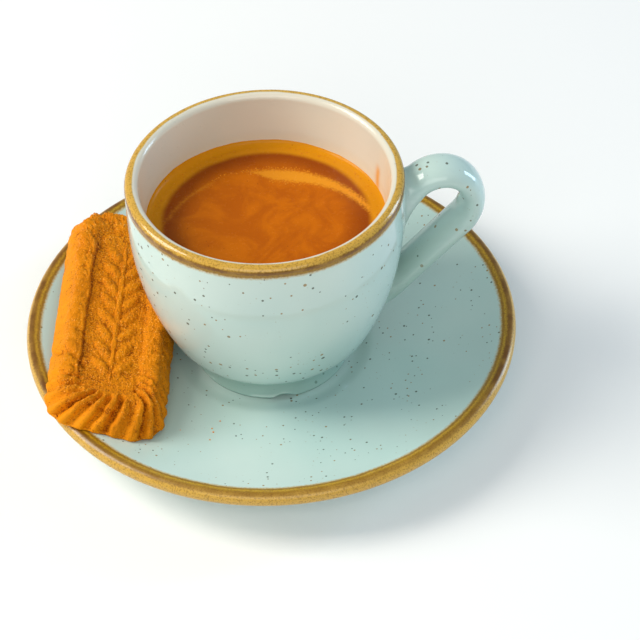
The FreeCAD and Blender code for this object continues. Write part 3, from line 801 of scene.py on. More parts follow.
def saucer_section(size, base):
    ease, onto_flank = 0.6 * MM, 2.0 * MM
    under = base - size.wall
    lean = np.array((math.sin(size.rim_slope), math.cos(size.rim_slope))) * size.rim_round
    rim = (size.radius - size.rim_round, size.height - size.rim_round)
    foot_inside = size.foot_radius - size.foot_width
    step = (size.well_radius + size.well_soft, base + size.well_step)
    section = Section(0.0, under)
    section.run(foot_inside - under / 2, under, 3 * MM).run(foot_inside, ease)
    section.arc(foot_inside + ease, 0.0, ease, 1).run(size.foot_radius - ease, 0.0)
    section.arc(size.foot_radius, ease, ease, 1).run(size.foot_radius, under + size.wall / 2)
    section.arc(rim[0] + lean[0], rim[1] - lean[1], size.flank_curve, 1, 1.6 * MM)
    section.arc(rim[0] + lean[1], rim[1] + lean[0], size.rim_round, 1, 0.25 * MM)
    section.arc(rim[0] - lean[0], rim[1] + lean[1], size.rim_round, 1, 0.25 * MM)
    section.run(*(section.points[-1] - (onto_flank * math.cos(size.rim_slope),
                                        onto_flank * math.sin(size.rim_slope))), 0.25 * MM)
    section.arc(*step, size.flank_curve, -1, 0.8 * MM)
    section.soften(step[0] + size.well_soft, size.well_radius - size.well_soft / 2, base)
    return section.run(0.0, base, 2 * MM)


class SaucerOperator(bpy.types.Operator):
    """Turns the saucer from its section and glazes it"""
    bl_idname = "espresso.make_saucer"
    bl_label = "Saucer"

    def execute(self, context):
        size = settings().saucer
        section = saucer_section(size, settings().cup.base)
        piece = section.turned("saucer_body", size.facets, saucer_material())
        tidy_mesh(piece.data)
        where = points_of(piece.data)
        way = section.way_to(np.hypot(where[:, 0], where[:, 1]), where[:, 2])
        outermost = section.way_to([size.radius], [size.height - size.rim_round])
        set_attributes(piece.data, rim=way - outermost)
        finish_piece(piece, "saucer_glaze", "saucer")
        return {"FINISHED"}


class Side:
    """The curved side of the cup, seen in section: an upright band, the side and the belly below."""

    def __init__(self, size, inset=0.0):
        self.centre = np.array((size.radius - size.side_curve, size.side_start + size.base))
        self.curve = size.side_curve - inset
        self.start = (size.radius - inset, self.centre[1])
        self.turn = size.side_turn
        self.end = self.centre + self.curve * self.facing(size.side_turn)
        self.belly_curve = size.belly_curve
        self.belly = self.end - self.facing(size.side_turn) * size.belly_curve
        self.waist = self.belly + size.belly_curve * self.facing(size.side_turn + size.belly_turn)

    @staticmethod
    def facing(below):
        return np.array((math.cos(below), -math.sin(below)))

    def gap(self, point):
        """How far a point lies outside the wall, and the wall's outward direction there."""
        out = math.hypot(point[0], point[1])
        above = point[2] - self.centre[1]
        away = np.array((out - self.centre[0], above))
        if above > 0.0:
            far, facing = out - self.start[0], np.array((1.0, 0.0))
        elif math.atan2(-above, away[0]) < self.turn:
            far, facing = np.linalg.norm(away) - self.curve, away / np.linalg.norm(away)
        else:
            away = np.array((out, point[2])) - self.belly
            far, facing = np.linalg.norm(away) - self.belly_curve, away / np.linalg.norm(away)
        return far, np.array((facing[0] * point[0] / out, facing[0] * point[1] / out, facing[1]))


def cup_section(size):
    outside, inside = Side(size), Side(size, size.wall)
    floor = size.base + size.bowl_floor
    corner = (inside.end[1] - floor) / (1.0 - math.sin(size.side_turn))
    lip_inside = size.radius - 2 * size.lip_round
    section = Section(0.0, size.base + size.foot_recess)
    section.run(size.foot_inner - size.foot_recess, size.base + size.foot_recess, 3 * MM)
    section.run(size.foot_inner, size.base, 0.5 * MM)
    section.run(size.foot_radius - size.foot_edge, size.base, 0.5 * MM)
    section.arc(size.foot_radius, size.base + size.foot_edge, size.foot_edge, 1, 0.2 * MM)
    section.arc(*outside.waist, size.foot_hollow, -1, 0.3 * MM)
    section.arc(*outside.end, size.belly_curve, 1, 0.5 * MM)
    section.arc(*outside.start, size.side_curve, 1, 0.8 * MM)
    section.run(size.radius, size.top - size.lip_round, 0.4 * MM)
    section.arc(size.radius - size.lip_round, size.top, size.lip_round, 1, 0.2 * MM)
    section.arc(lip_inside, size.top - size.lip_round, size.lip_round, 1, 0.2 * MM)
    section.run(*inside.start, 0.8 * MM)
    section.arc(*inside.end, inside.curve, -1, 0.9 * MM)
    section.arc(inside.end[0] - math.cos(size.side_turn) * corner, floor, corner, -1, 1.2 * MM)
    return section.run(0.0, floor, 3 * MM)


def cut_notches(where, size):
    """Lifts the foot's underside into low arches; the first faces square to the handle."""
    for number in range(size.notch_count):
        facing = -math.pi / 2 + number * 2.0 * math.pi / size.notch_count
        out = where[:, 0] * math.cos(facing) + where[:, 1] * math.sin(facing)
        across = where[:, 1] * math.cos(facing) - where[:, 0] * math.sin(facing)
        rise = np.sqrt(np.clip(size.notch_curve ** 2 - across ** 2, 0.0, None)) - size.notch_curve
        arch = size.base + size.notch_height + rise
        low = (out > 0.0) & (where[:, 2] < arch) & (out > size.foot_inner - size.foot_recess)
        where[low, 2] = arch[low]


def handle_line(size, base):
    """Closely spaced places along the handle's centre line: way gone, x, z and heading."""
    x, z, heading, gone = size.seat, size.height + base, size.rise_angle, 0.0
    rows = [(gone, x, z, heading)]
    step = 0.05 * MM
    stretches = [(size.rise_length, 0.0), (size.crown_curve, size.crown_turn),
                 (size.bow_curve, size.bow_turn), (size.leg_length, 0.0),
                 (size.bend_curve, size.bend_turn), (size.root_length, 0.0)]
    for reach, turn in stretches:
        way = reach * turn if turn else reach
        count = round(way / step)
        for _ in range(count):
            middle = heading - turn / count / 2
            x += math.cos(middle) * way / count
            z += math.sin(middle) * way / count
            heading -= turn / count
            gone += way / count
            rows.append((gone, x, z, heading))
    return np.array(rows).T


def handle_shell(size, cup):
    """The strap's own closed mesh, flowing at both ends out onto the cup's side."""
    gone, x, z, heading = handle_line(size, cup.base)
    side = Side(cup)
    around, stations, root_steps = 60, 96, 9
    columns = []
    for number in range(around):
        turn = 2.0 * math.pi * number / around
        reach = (size.thick / 2 * math.cos(turn), size.width / 2 * math.sin(turn))
        lean = np.array((math.cos(turn) / size.thick, math.sin(turn) / size.width))
        lean /= np.linalg.norm(lean)

        def at(way, reach=reach):
            """The strap's own surface at a way along it, and the way its surface faces."""
            facing = np.interp(way, gone, heading)
            up = np.array((-math.sin(facing), 0.0, math.cos(facing)))
            middle = np.array((np.interp(way, gone, x), 0.0, np.interp(way, gone, z)))
            return (middle + up * reach[0] + np.array((0.0, reach[1], 0.0)),
                    up * lean[0] + np.array((0.0, lean[1], 0.0)))

        ways = np.linspace(gone[0], gone[-1], 500)
        gaps = np.array([side.gap(at(way)[0])[0] for way in ways])
        clear = np.nonzero(gaps > size.blend)[0]
        first, last = clear[0], clear[-1]

        def root(near, ways=ways, gaps=gaps, first=first, last=last):
            """Places from the strap down onto the wall, rounded like a quarter circle."""
            run = slice(0, first + 1) if near else slice(last, len(ways))
            order = 1 if near else -1
            places = []
            for step in range(root_steps + 1):
                bend = math.pi / 2 * step / root_steps
                gap = size.blend * (1.0 - math.sin(bend))
                way = np.interp(gap, gaps[run][::order], ways[run][::order])
                point, facing = at(way)
                normal = side.gap(point)[1]
                along = facing - normal * facing.dot(normal)
                along /= np.linalg.norm(along)
                places.append(point + along * size.blend * (1.0 - math.cos(bend)))
            sunk = 0.4 * MM
            places.append(places[-1] - normal * sunk + along * sunk)
            return places

        start = np.interp(size.blend, gaps[:first + 1], ways[:first + 1])
        stop = np.interp(size.blend, gaps[last:][::-1], ways[last:][::-1])
        middle = [at(way)[0] for way in np.linspace(start, stop, stations)[1:-1]]
        columns.append(root(True)[::-1] + middle + root(False))
    rows = np.array(columns).transpose(1, 0, 2)
    return closed_rings("handle", rows, (-2 * MM, 0.0, 0.0))


class CupOperator(bpy.types.Operator):
    """Turns the cup, cuts its drain notches, adds the handle and glazes it"""
    bl_idname = "espresso.make_cup"
    bl_label = "Cup"

    def execute(self, context):
        size = settings().cup
        section = cup_section(size)
        piece = section.turned("cup_body", size.facets, cup_material())
        tidy_mesh(piece.data)
        regions = self.regions(piece.data, section, size)
        where = points_of(piece.data)
        cut_notches(where, size)
        move_points(piece.data, where)
        handle = handle_shell(settings().handle, size)
        tidy_mesh(handle)
        shape = bmesh.new()
        shape.from_mesh(piece.data)
        shape.from_mesh(handle)
        shape.to_mesh(piece.data)
        shape.free()
        on_handle = {"rim": AWAY, "inside": 0.0, "stain": 0.0, "foot": self.leg_depth(handle, size)}
        for name, values in regions.items():
            added = np.broadcast_to(on_handle[name], len(handle.vertices))
            set_attributes(piece.data, **{name: np.r_[values, added]})
        bpy.data.meshes.remove(handle)
        finish_piece(piece, "cup_glaze", "cup")
        return {"FINISHED"}

    def leg_depth(self, handle, size):
        """Painted shade on the handle's lower leg, which lies in the cup's shadow, as round the foot."""
        height = points_of(handle)[:, 2] - size.base
        return 0.6 * (1 - soft_step(height, 22 * MM, 43 * MM))

    def regions(self, mesh, section, size):
        """The way over the lip, the inside, the drip of crema and the painted shade round the foot, for the
        glaze to read.
        """
        where = points_of(mesh)
        height = where[:, 2]
        way = section.way_to(np.hypot(where[:, 0], where[:, 1]), height)
        crown = section.way_to([size.radius - size.lip_round], [size.top])
        over = crown + 0.3 - way
        inside = soft_step(-over, -0.4, 0.4)
        drip_facing, drip_half = 13.0, 2.2
        facing = np.degrees(np.arctan2(where[:, 1], where[:, 0]))
        narrow = bell(facing - drip_facing, drip_half)
        tall = soft_step(height, 45 * MM, 46 * MM) * (1 - soft_step(height, 50 * MM, 53 * MM))
        # Painted shade round the foot, below the belly.
        waist = size.base + size.foot_hollow
        foot = 1 - soft_step(height, waist - 1 * MM, waist + 3 * MM)
        return {"rim": over, "inside": inside, "stain": narrow * tall * inside, "foot": foot}


# ---------------------------------------------------------------- drink

def wall_radius(height):
    """Radius of the bowl's inside at a height on its curved side."""
    inner = Side(settings().cup, settings().cup.wall)
    return inner.centre[0] + np.sqrt(inner.curve ** 2 - (height - inner.centre[1]) ** 2)


def drink_rings(size, cup):
    """The surface with its climbing edge, then down inside the wall to the bowl's floor."""
    around = 240
    turn = np.linspace(0.0, 2.0 * math.pi, around, endpoint=False)
    level = size.level + cup.base
    edge = wall_radius(level)
    uneven = np.array([noise.noise(Vector((math.cos(t) * 3, math.sin(t) * 3, 1.7))) for t in turn])
    fine = np.array([noise.noise(Vector((math.cos(t) * 14, math.sin(t) * 14, 4.2))) for t in turn])
    towards = 0.5 + 0.5 * np.cos(turn - size.film_side)
    climb = size.meniscus + size.film * towards ** 2 + (uneven * 0.25 + fine * 0.12) * MM
    climb = np.clip(climb, 0.25 * MM, None)
    rings = []
    inner_reach, into_wall = 2.2 * MM, 0.35 * MM

    def ring(radius, height):
        rings.append(np.stack([radius * np.cos(turn), radius * np.sin(turn), height + 0 * turn], -1))

    for share in np.linspace(0.02, 1.0, 84):
        ring(share * (edge - inner_reach) + 0 * turn, level)
    for share in np.linspace(0.0, 1.0, 15)[1:]:
        height = level + climb * share ** 2.6
        ring(wall_radius(height) - inner_reach * (1.0 - share) ** 1.3 + 0.04 * MM * share, height)
    ring(wall_radius(level + climb) + into_wall, level + climb - 0.2 * MM)
    low = cup.base + cup.bowl_floor + 8 * MM
    for share in np.linspace(0.0, 1.0, 12):
        height = level + (low - level) * share
        ring(wall_radius(height) + into_wall + 0 * turn, height)
    ring(wall_radius(low) - 9 * MM + 0 * turn, cup.base + cup.bowl_floor - into_wall)
    return np.array(rings)


def lit_crescent_depth(size, where):
    """How far inside the crescent of painted light places lie, and how strong that painted light is there.

    The crescent is thickest on the far right, runs out to a thin tail on the near right, and comes
    back as a faint, thin sliver on the left.
    """
    forward = where[:, 1] + size.crescent_shift / MM
    turn = np.degrees(np.arctan2(forward, where[:, 0]))
    right = (1 - soft_step(turn, 78, 101)) * np.clip((turn + 12) / 78, 0.0, 1.0) ** 0.7
    left = 0.4 * soft_step(turn, 106, 118) * (1 - soft_step(turn, 148, 164))
    thick = np.maximum(right, left) * (size.crescent_thick + 0.6 * MM) / MM - 0.5
    below = size.crescent_radius / MM - np.hypot(where[:, 0], forward)
    return np.minimum(below, thick - below), np.where(turn < 103, 0.9 - 0.25 * soft_step(turn, 60, 100), 0.4)


class DrinkOperator(bpy.types.Operator):
    """Fills the cup with espresso and its crema, with fine bubbles along the crescent of painted light"""
    bl_idname = "espresso.make_drink"
    bl_label = "Espresso"

    def execute(self, context):
        size, cup = settings().drink, settings().cup
        mesh = closed_rings("espresso_crema", drink_rings(size, cup))
        where = points_of(mesh)
        level = size.level + cup.base
        top = np.abs(where[:, 2] - level) < 0.3 * MM
        ripple = lumps(where[top], 160.0, 3, 3) * 0.05 * MM
        where[top, 2] += ripple
        move_points(mesh, where)
        tidy_mesh(mesh, math.radians(60))
        self.mark_rings(mesh, size)
        material = crema_material()
        mesh.materials.append(material)
        piece = link_object("espresso_crema", mesh)
        finish_piece(piece, "espresso", "espresso")
        self.blow_bubbles(level, material)
        return {"FINISHED"}

    def mark_rings(self, mesh, size):
        """Millimetres outside the start of the golden edge and inside the border of the crescent of painted
        light, and that light's strength.
        """
        where = points_of(mesh) / MM
        inside, strength = lit_crescent_depth(size, where)
        set_attributes(mesh, edge=np.hypot(where[:, 0], where[:, 1]) - size.edge_radius / MM,
                       crescent=inside, crescent_strength=strength)

    def blow_bubbles(self, level, material):
        """Tiny bubbles: a fringe along the crescent's inner left, and strays along the wall."""
        mesh = flat_bed("bubble_bed", 120, 27.4 * MM, level)
        where = points_of(mesh)
        out = np.hypot(where[:, 0], where[:, 1])
        turn = np.degrees(np.arctan2(where[:, 1], where[:, 0]))
        inside = lit_crescent_depth(settings().drink, where / MM)[0]
        fringe = bell(inside, 0.35) * soft_step(turn, 40, 60) * (1 - soft_step(turn, 112, 124))
        strays = bell(out - 26.4 * MM, 0.5 * MM) * 0.16
        set_attributes(mesh, strewn=np.clip(fringe + strays, 0, 1) * (out < 27.2 * MM))
        bubbles = run_tree("crema_bubbles", mesh, "Strewn grains", {
            "Density": 6.0e6, "Smallest": 0.1 * MM, "Largest": 0.24 * MM, "Flatness": 0.8,
            "Sunk": 0.2, "Roundness": 2, "Seed": 4, "Finish": material})
        bubbles.data.polygons.foreach_set("use_smooth", [True] * len(bubbles.data.polygons))
        # The bubbles take half of the crescent's painted light and none of the ring of painted shade.
        set_attributes(bubbles.data, edge=-9.0, crescent=2.0, crescent_strength=0.5)
        finish_piece(bubbles, "espresso")


# ---------------------------------------------------------------- biscuit

class Plate:
    """The biscuit's outline, looked down on: a slightly skewed slab with rounded corners."""

    def __init__(self, size):
        half_length, half_width, skew = size.length / 2, size.width / 2, size.skew
        corners = np.array([(half_length, -half_width), (half_length, half_width),
                            (skew - half_length, half_width), (-half_length - skew, -half_width)])
        sides = np.roll(corners, -1, 0) - corners
        self.normals = np.stack([sides[:, 1], -sides[:, 0]], -1) / np.linalg.norm(sides, axis=1)[:, None]
        self.reach = (self.normals * corners).sum(1)

    def outside(self, points, inset, corner):
        """How far points lie outside the outline that is set in by inset and rounded by corner."""
        core = self.reach - inset - corner
        beyond = points @ self.normals.T - core
        most = beyond.max(1)
        best = np.full(len(points), np.inf)
        vertices = self.crossings(core)
        for i in range(4):
            a, b = vertices[i - 1], vertices[i]
            along = b - a
            share = np.clip(((points - a) @ along) / along.dot(along), 0.0, 1.0)
            best = np.minimum(best, np.linalg.norm(points - a - share[:, None] * along, axis=1))
        return np.where(most > 0.0, best, most) - corner

    def crossings(self, reach):
        """Corners of the straight-sided outline at the given distances of its sides."""
        pairs = [[i, (i + 1) % 4] for i in range(4)]
        return np.array([np.linalg.solve(self.normals[pair], reach[pair]) for pair in pairs])

    def edge_at(self, directions, inset, corner):
        """Distance from the middle to the rounded outline, in each direction."""
        low, high = np.zeros(len(directions)), np.full(len(directions), 60 * MM)
        for _ in range(26):
            half = (low + high) / 2
            out = self.outside(directions * half[:, None], inset, corner) > 0.0
            low, high = np.where(out, low, half), np.where(out, half, high)
        return low

    def square_edge_at(self, directions, inset):
        facing = directions @ self.normals.T
        return np.where(facing > 1e-9, (self.reach - inset) / np.maximum(facing, 1e-9), np.inf).min(1)


def biscuit_skin(size):
    """A fine grid over the top, rings down the sloping side and a closed base, with the outline used."""
    plate = Plate(size)
    columns, rows = 360, 150
    top_inset = size.thick * math.tan(size.flare) + size.top_round * 0.9
    corner = size.corner - top_inset * 0.55
    across, along = np.meshgrid(np.linspace(-1, 1, rows + 1), np.linspace(-1, 1, columns + 1), indexing="ij")
    corners = plate.crossings(plate.reach - top_inset)
    right, left = (along + 1) / 2, (across + 1) / 2
    flat = bilinear(corners, right, left)
    square = np.maximum(np.abs(across), np.abs(along)).ravel()
    points = flat.reshape(-1, 2)
    span = np.linalg.norm(points, axis=1)
    directions = points / np.maximum(span, 1e-9)[:, None]
    ratio = plate.edge_at(directions, top_inset, corner) / plate.square_edge_at(directions, top_inset)
    points = points * (1.0 + (ratio - 1.0) * square ** 2)[:, None]
    faces = grid_faces(rows + 1, columns + 1, wrapped=False)
    loop = border_loop(rows + 1, columns + 1)
    skin = [np.column_stack([points, np.full(len(points), size.thick)])]
    previous, count = loop, len(points)
    ray = directions[loop]
    for inset, height in side_profile(size, top_inset):
        reach = plate.edge_at(ray, inset, size.corner - inset * 0.55)
        skin.append(np.column_stack([ray * reach[:, None], np.full(len(loop), height)]))
        here = np.arange(count, count + len(loop))
        faces += [(previous[i], here[i], here[(i + 1) % len(loop)], previous[(i + 1) % len(loop)])
                  for i in range(len(loop))]
        previous, count = here, count + len(loop)
    faces.append(list(previous))
    return np.vstack(skin), faces, plate


def bilinear(corners, right, left):
    """Places on the four-cornered plate; right runs along it and left across it, both from 0 to 1."""
    far = corners[0] * (1 - left[..., None]) + corners[1] * left[..., None]
    near = corners[3] * (1 - left[..., None]) + corners[2] * left[..., None]
    return near * (1 - right[..., None]) + far * right[..., None]


def border_loop(rows, columns):
    """Indices round the edge of a grid, in order."""
    bottom = list(range(columns))
    right = [row * columns + columns - 1 for row in range(1, rows)]
    top = [(rows - 1) * columns + i for i in range(columns - 2, -1, -1)]
    left = [row * columns for row in range(rows - 2, 0, -1)]
    return np.array([*bottom, *right, *top, *left])


def side_profile(size, top_inset):
    """Inset and height of each ring: over the rounded shoulder, down the slope and round the base."""
    slope = math.pi / 2 - size.flare
    rings = []
    shoulder = size.top_round
    middle = (top_inset, size.thick - shoulder)
    for turn in np.linspace(0.0, slope, 11)[1:]:
        rings.append((middle[0] - shoulder * math.sin(turn), middle[1] + shoulder * math.cos(turn)))
    start = rings[-1]
    end = (0.25 * MM, size.base_round * 0.9)
    for share in np.linspace(0.0, 1.0, 13)[1:]:
        belly = 0.35 * MM * math.sin(math.pi * share)
        rings.append((start[0] + (end[0] - start[0]) * share - belly, start[1] + (end[1] - start[1]) * share))
    for turn in np.linspace(0.0, math.pi / 2, 6)[1:]:
        rings.append((end[0] + size.base_round * (1 - math.cos(turn)), end[1] * (1 - math.sin(turn))))
    return rings


def box_distance(points, half_length, half_width, corner):
    """How far points lie outside a rounded rectangle."""
    beyond = np.abs(points) - (half_length - corner, half_width - corner)
    return np.linalg.norm(np.maximum(beyond, 0.0), axis=1) + np.minimum(beyond.max(1), 0.0) - corner


def kernel_relief(size, flat):
    """Heights of a plain ear of grain: a stem with a pair of leaning kernels at every step."""
    height = np.zeros(len(flat))
    step = size.ear_length / size.kernel_pairs
    for number in range(size.kernel_pairs * 2):
        pair, hand = number // 2, 1 if number % 2 else -1
        middle = np.array(((pair + 0.5) * step - size.ear_length / 2, hand * size.kernel_length * 0.4))
        lean = (size.kernel_lean + size.kernel_sway * math.sin(number * 2.1)) * hand
        away = flat - middle
        along = away[:, 0] * math.cos(lean) + away[:, 1] * math.sin(lean)
        across = away[:, 1] * math.cos(lean) - away[:, 0] * math.sin(lean)
        reach = (along / (size.kernel_length / 2)) ** 2 + (across / (size.kernel_width / 2)) ** 2
        height = np.maximum(height, np.sqrt(np.clip(1.0 - reach, 0.0, 1.0)))
    stem = (flat[:, 0] / (size.ear_length * 0.56)) ** 2 + (flat[:, 1] / (size.kernel_width * 0.3)) ** 2
    return np.maximum(height, np.sqrt(np.clip(1.0 - stem, 0.0, 1.0)) * 0.7) * size.kernel_height


def crimp_depth(size, plate, points):
    """Depth of the crimps pressed across the border, and how strongly each place is pressed.

    They fan round the near end, uneven in depth and length, and are faint elsewhere.
    """
    flat = points[:, :2]
    inset = -plate.outside(flat, 0.0, size.corner)
    near, fan = -size.length / 2 + 16 * MM, 17 * MM
    hand = np.sign(flat[:, 1])
    turn = np.arctan2(flat[:, 1], near - flat[:, 0])
    way = np.where(flat[:, 0] < near, turn * fan, hand * (math.pi / 2 * fan + flat[:, 0] - near))
    way = way + inset * 0.8 + lumps(points, 240.0, 2, 21) * 0.55 * MM
    number = np.round(way / size.crimp_pitch)
    own = 0.5 + 0.5 * np.sin(number * 2.4 + 1.0)
    press = np.clip(np.cos(math.pi * (way / size.crimp_pitch - number)), 0.0, 1.0) ** 3
    at_near = 1.0 - soft_step(flat[:, 0], near - 7 * MM, near + 3 * MM)
    at_far = soft_step(flat[:, 0], size.length / 2 - 11 * MM, size.length / 2 - 7 * MM)
    on_left = (1.0 - soft_step(flat[:, 0], near + 3 * MM, near + 19 * MM)) * (flat[:, 1] > 0)
    strength = at_near * (0.55 + 0.45 * own) + (0.25 * at_far + 0.4 * on_left * own) * (1 - at_near) + 0.05
    reach = (6.2 + 1.6 * own) * MM
    border = 1.0 - soft_step(inset, reach, reach + 1.6 * MM)
    low = soft_step(inset, 0.0, 2.0 * MM) * 0.3 + 0.7
    pressed = press * np.clip(strength, 0.0, 1.0) * border
    return pressed * low * size.crimp_depth, pressed


class BiscuitOperator(bpy.types.Operator):
    """Bakes the biscuit: sunk field, crimped border, relief and crust, with sugar grains on top"""
    bl_idname = "espresso.make_biscuit"
    bl_label = "Biscuit"

    def execute(self, context):
        size = settings().biscuit
        points, faces, plate = biscuit_skin(size)
        mesh = mesh_from("biscuit_baked", points, faces)
        bake, smooth = self.shape_crust(mesh, size, plate, points)
        upper = soft_step(points_of(mesh)[:, 2], 4.2 * MM, 5.2 * MM)
        set_attributes(mesh, bake=bake, smooth_side=smooth, strewn=upper * (1 - smooth))
        mesh.transform(self.lie(size))
        tidy_mesh(mesh, math.radians(70))
        mesh.materials.append(biscuit_material())
        piece = link_object("biscuit_baked", mesh)
        finish_piece(piece, "biscuit", "biscuit")
        grains = run_tree("sugar_grains", mesh.copy(), "Strewn grains", {
            "Density": 1.0e6, "Smallest": 0.08 * MM, "Largest": 0.19 * MM, "Flatness": 0.8,
            "Sunk": 0.2, "Roundness": 1, "Seed": 7, "Finish": sugar_material()})
        finish_piece(grains, "biscuit")
        return {"FINISHED"}

    def lie(self, size):
        """From the biscuit's own frame to its place on the saucer."""
        turned = (Matrix.Rotation(math.pi / 2 + size.turn, 4, "Z") @ Matrix.Rotation(size.dip, 4, "Y")
                  @ Matrix.Rotation(size.tilt, 4, "X"))
        middle = Matrix.Translation((size.across, size.along, size.middle))
        return middle @ turned @ Matrix.Translation((0, 0, -size.thick / 2))

    def shape_crust(self, mesh, size, plate, points):
        """Moves the skin into the baked shape and tells each place's browning, with its painted shade and
        light, and how smooth it is; the smooth left side also carries painted light.
        """
        flat = points[:, :2]
        top = soft_step(points[:, 2], size.thick * 0.55, size.thick * 0.95)
        field = box_distance(flat, size.field_length / 2, size.field_width / 2, 3 * MM)
        wander = lumps(points, 180.0, 2, 11) * 0.5 * MM
        sunk = (1.0 - soft_step(field + wander, -0.9 * MM, 0.7 * MM)) * top
        crack = bell(field + wander, 0.3 * MM) * (flat[:, 1] > 0) * top * 0.8
        crack *= 1.0 - soft_step(np.abs(flat[:, 0] + 1 * MM), 20 * MM, 27 * MM)
        crest = bell(field - 3.2 * MM, 2.2 * MM) * top
        relief = kernel_relief(size, flat) * (1.0 - soft_step(field, -2.5 * MM, -0.8 * MM)) * top
        crimps, pressed = crimp_depth(size, plate, points)
        coarse = lumps(points, 330.0, 3, 2)
        crusty = lumps(points, 900.0, 3, 5)
        fine = lumps(points, 1700.0, 2, 8)
        grit = np.clip(lumps(points, 1300.0, 2, 31), 0.0, 1.0)
        far_left = bell(flat[:, 0] - 27 * MM, 13 * MM) * bell(flat[:, 1] - 9 * MM, 6 * MM)
        left_side = (1.0 - top) * (flat[:, 1] > 0)
        rough = (0.4 + 0.9 * far_left) * (1.0 - 0.75 * left_side) * (1.0 - 0.6 * sunk)
        height = (-sunk * size.field_depth + relief - crack * 0.55 * MM + crest * 0.35 * MM - crimps
                  + rough * coarse * 0.9 * MM + rough * crusty * 0.55 * MM
                  + (0.3 + 0.7 * top) * (fine * 0.1 + grit * 0.3) * MM * (1 - 0.75 * left_side))
        height *= soft_step(points[:, 2], -0.1 * MM, 1.0 * MM)
        normals = np.empty(len(points) * 3)
        mesh.vertices.foreach_get("normal", normals)
        normals = normals.reshape(-1, 3)
        if normals[0, 2] < 0:
            normals = -normals
        moved = points + normals * height[:, None]
        moved[:, 2] = np.maximum(moved[:, 2], 0.0)
        move_points(mesh, moved)
        # Painted shade: the right side, away from the light, is made darker.
        right = soft_step(-flat[:, 1], 9 * MM, 14 * MM)
        # Real browning of the crust, painted shade in hollows, cracks, crimps and the sunk field, and painted
        # light that pales the raised relief and grit.
        hollow = np.clip(-coarse * 0.6 - crusty * 0.5, 0.0, 1.0)
        bake = (crack * 0.8 + pressed ** 2 * 0.6 + right * 0.16 + hollow * 0.75 + sunk * 0.26 + top * 0.08
                - grit * 0.5 - relief / size.kernel_height * 0.25 + far_left * 0.12)
        # The smooth left side, which also carries painted light that makes it paler.
        return bake, left_side * 0.75


class CrumbOperator(bpy.types.Operator):
    """Drops a few crumbs on the saucer beside the biscuit"""
    bl_idname = "espresso.make_crumbs"
    bl_label = "Crumbs"

    def execute(self, context):
        size = settings().saucer
        base = settings().cup.base
        mesh = flat_bed("crumb_bed", 60, 56 * MM, 0.0)
        where = points_of(mesh)
        out = np.hypot(where[:, 0], where[:, 1])
        flank = [p for p in saucer_section(size, base).points if p[1] > base - size.wall / 2]
        top = np.array([p for p in flank if p[0] < size.radius - 2 * size.rim_round])
        upper = top[np.argmax(top[:, 0]):]
        order = np.argsort(upper[:, 0])
        where[:, 2] = np.interp(out, upper[order, 0], upper[order, 1])
        move_points(mesh, where)
        spot, spread = (-21 * MM, -29 * MM), 9 * MM
        near = bell(np.hypot(where[:, 0] - spot[0], where[:, 1] - spot[1]), spread)
        set_attributes(mesh, strewn=near * (out > 22 * MM) * (out < 52 * MM))
        crust = bpy.data.materials.get("Baked biscuit") or biscuit_material()
        crumbs = run_tree("saucer_crumbs", mesh, "Strewn grains", {
            "Density": 2.4e4, "Smallest": 0.12 * MM, "Largest": 0.36 * MM, "Flatness": 0.7,
            "Sunk": -0.4, "Roundness": 2, "Seed": 3, "Finish": crust})
        shape = points_of(crumbs.data)
        shape += np.stack([lumps(shape, 5200.0, 2, seed) for seed in (1, 2, 3)], -1) * 0.05 * MM
        move_points(crumbs.data, shape)
        set_attributes(crumbs.data, bake=-0.3, smooth_side=0.8)
        finish_piece(crumbs, "biscuit")
        return {"FINISHED"}


# ---------------------------------------------------------------- stage

def area_light(name, place_at, aim, width, depth, power, tint):
    lamp = bpy.data.lights.new(name, "AREA")
    lamp.shape = "RECTANGLE"
    lamp.size, lamp.size_y = width, depth
    lamp.energy = power
    lamp.color = tint
    light = bpy.data.objects.new(name, lamp)
    light.location = place_at
    light.rotation_euler = (Vector(aim) - Vector(place_at)).to_track_quat("-Z", "Y").to_euler()
    bpy.context.scene.collection.objects.link(light)


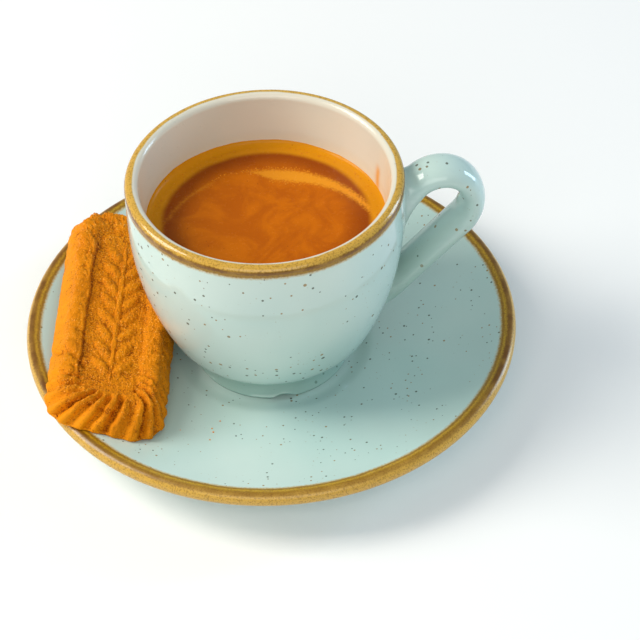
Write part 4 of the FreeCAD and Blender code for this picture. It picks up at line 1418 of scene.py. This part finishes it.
class StageOperator(bpy.types.Operator):
    """Sets the floor, the soft window light and the camera"""
    bl_idname = "espresso.set_stage"
    bl_label = "Stage"

    def execute(self, context):
        scene = context.scene
        middle = (CAD_BOX[0] + CAD_BOX[1]) / 2
        floor = flat_bed("floor", 8, 3.0, CAD_BOX[0].z)
        floor.materials.append(floor_material())
        link_object("floor", floor)
        for name, (place_at, width, depth, power, tint) in LIGHTS.items():
            area_light(name, place_at, middle, width, depth, power, tint)
        world = bpy.data.worlds.new("Studio")
        world.use_nodes = True
        sky = world.node_tree.nodes["Background"].inputs
        sky["Color"].default_value = SKY
        sky["Strength"].default_value = SKY_STRENGTH
        scene.world = world
        scene.view_settings.view_transform = "Standard"
        self.set_camera(scene, settings().stage, middle)
        return {"FINISHED"}

    def set_camera(self, scene, view, middle):
        lens = bpy.data.cameras.new("Camera")
        lens.lens = view.lens
        lens.clip_end = 20.0
        camera = bpy.data.objects.new("Camera", lens)
        ahead = Vector((math.sin(view.heading) * math.cos(view.pitch),
                        math.cos(view.heading) * math.cos(view.pitch), -math.sin(view.pitch)))
        level = Vector((math.cos(view.heading), -math.sin(view.heading), 0.0))
        up = level.cross(ahead)
        right = level * math.cos(view.roll) + up * math.sin(view.roll)
        top = up * math.cos(view.roll) - level * math.sin(view.roll)
        aim = middle + Vector((view.aim_right, view.aim_back, -view.aim_down))
        turn = Matrix((right, top, -ahead)).transposed().to_4x4()
        camera.matrix_world = Matrix.Translation(aim - ahead * view.distance) @ turn
        scene.collection.objects.link(camera)
        scene.camera = camera


class EspressoPanel(bpy.types.Panel):
    """Lists the makers and every setting in the 3D view's sidebar"""
    bl_idname = "VIEW3D_PT_espresso"
    bl_label = "Espresso Shot"
    bl_space_type = "VIEW_3D"
    bl_region_type = "UI"
    bl_category = "Espresso"

    def draw(self, context):
        for maker in MAKERS:
            self.layout.operator(maker.bl_idname)
        for name in EspressoSettings.__annotations__:
            group = getattr(context.scene.espresso, name)
            column = self.layout.column(heading=name.capitalize())
            for size in type(group).__annotations__:
                column.prop(group, size)


TREE_MAKERS = {"Freckles": make_freckle_group, "Painted band": make_band_group,
               "Clouding": make_cloud_group, "Turned ware": make_turning_tree,
               "Strewn grains": make_scatter_tree}
MAKERS = (SaucerOperator, CupOperator, DrinkOperator, BiscuitOperator, CrumbOperator, StageOperator)
CLASSES = (SaucerSettings, CupSettings, HandleSettings, DrinkSettings, BiscuitSettings, GlazeSettings,
           StageSettings, EspressoSettings, *MAKERS, EspressoPanel)


def register():
    for entry in CLASSES:
        bpy.utils.register_class(entry)
    bpy.types.Scene.espresso = PointerProperty(type=EspressoSettings)


def unregister():
    del bpy.types.Scene.espresso
    for entry in reversed(CLASSES):
        bpy.utils.unregister_class(entry)


def main():
    register()
    bpy.ops.espresso.make_saucer()
    bpy.ops.espresso.make_cup()
    bpy.ops.espresso.make_drink()
    bpy.ops.espresso.make_biscuit()
    bpy.ops.espresso.make_crumbs()
    bpy.ops.espresso.set_stage()


if __name__ == "__main__":
    main()
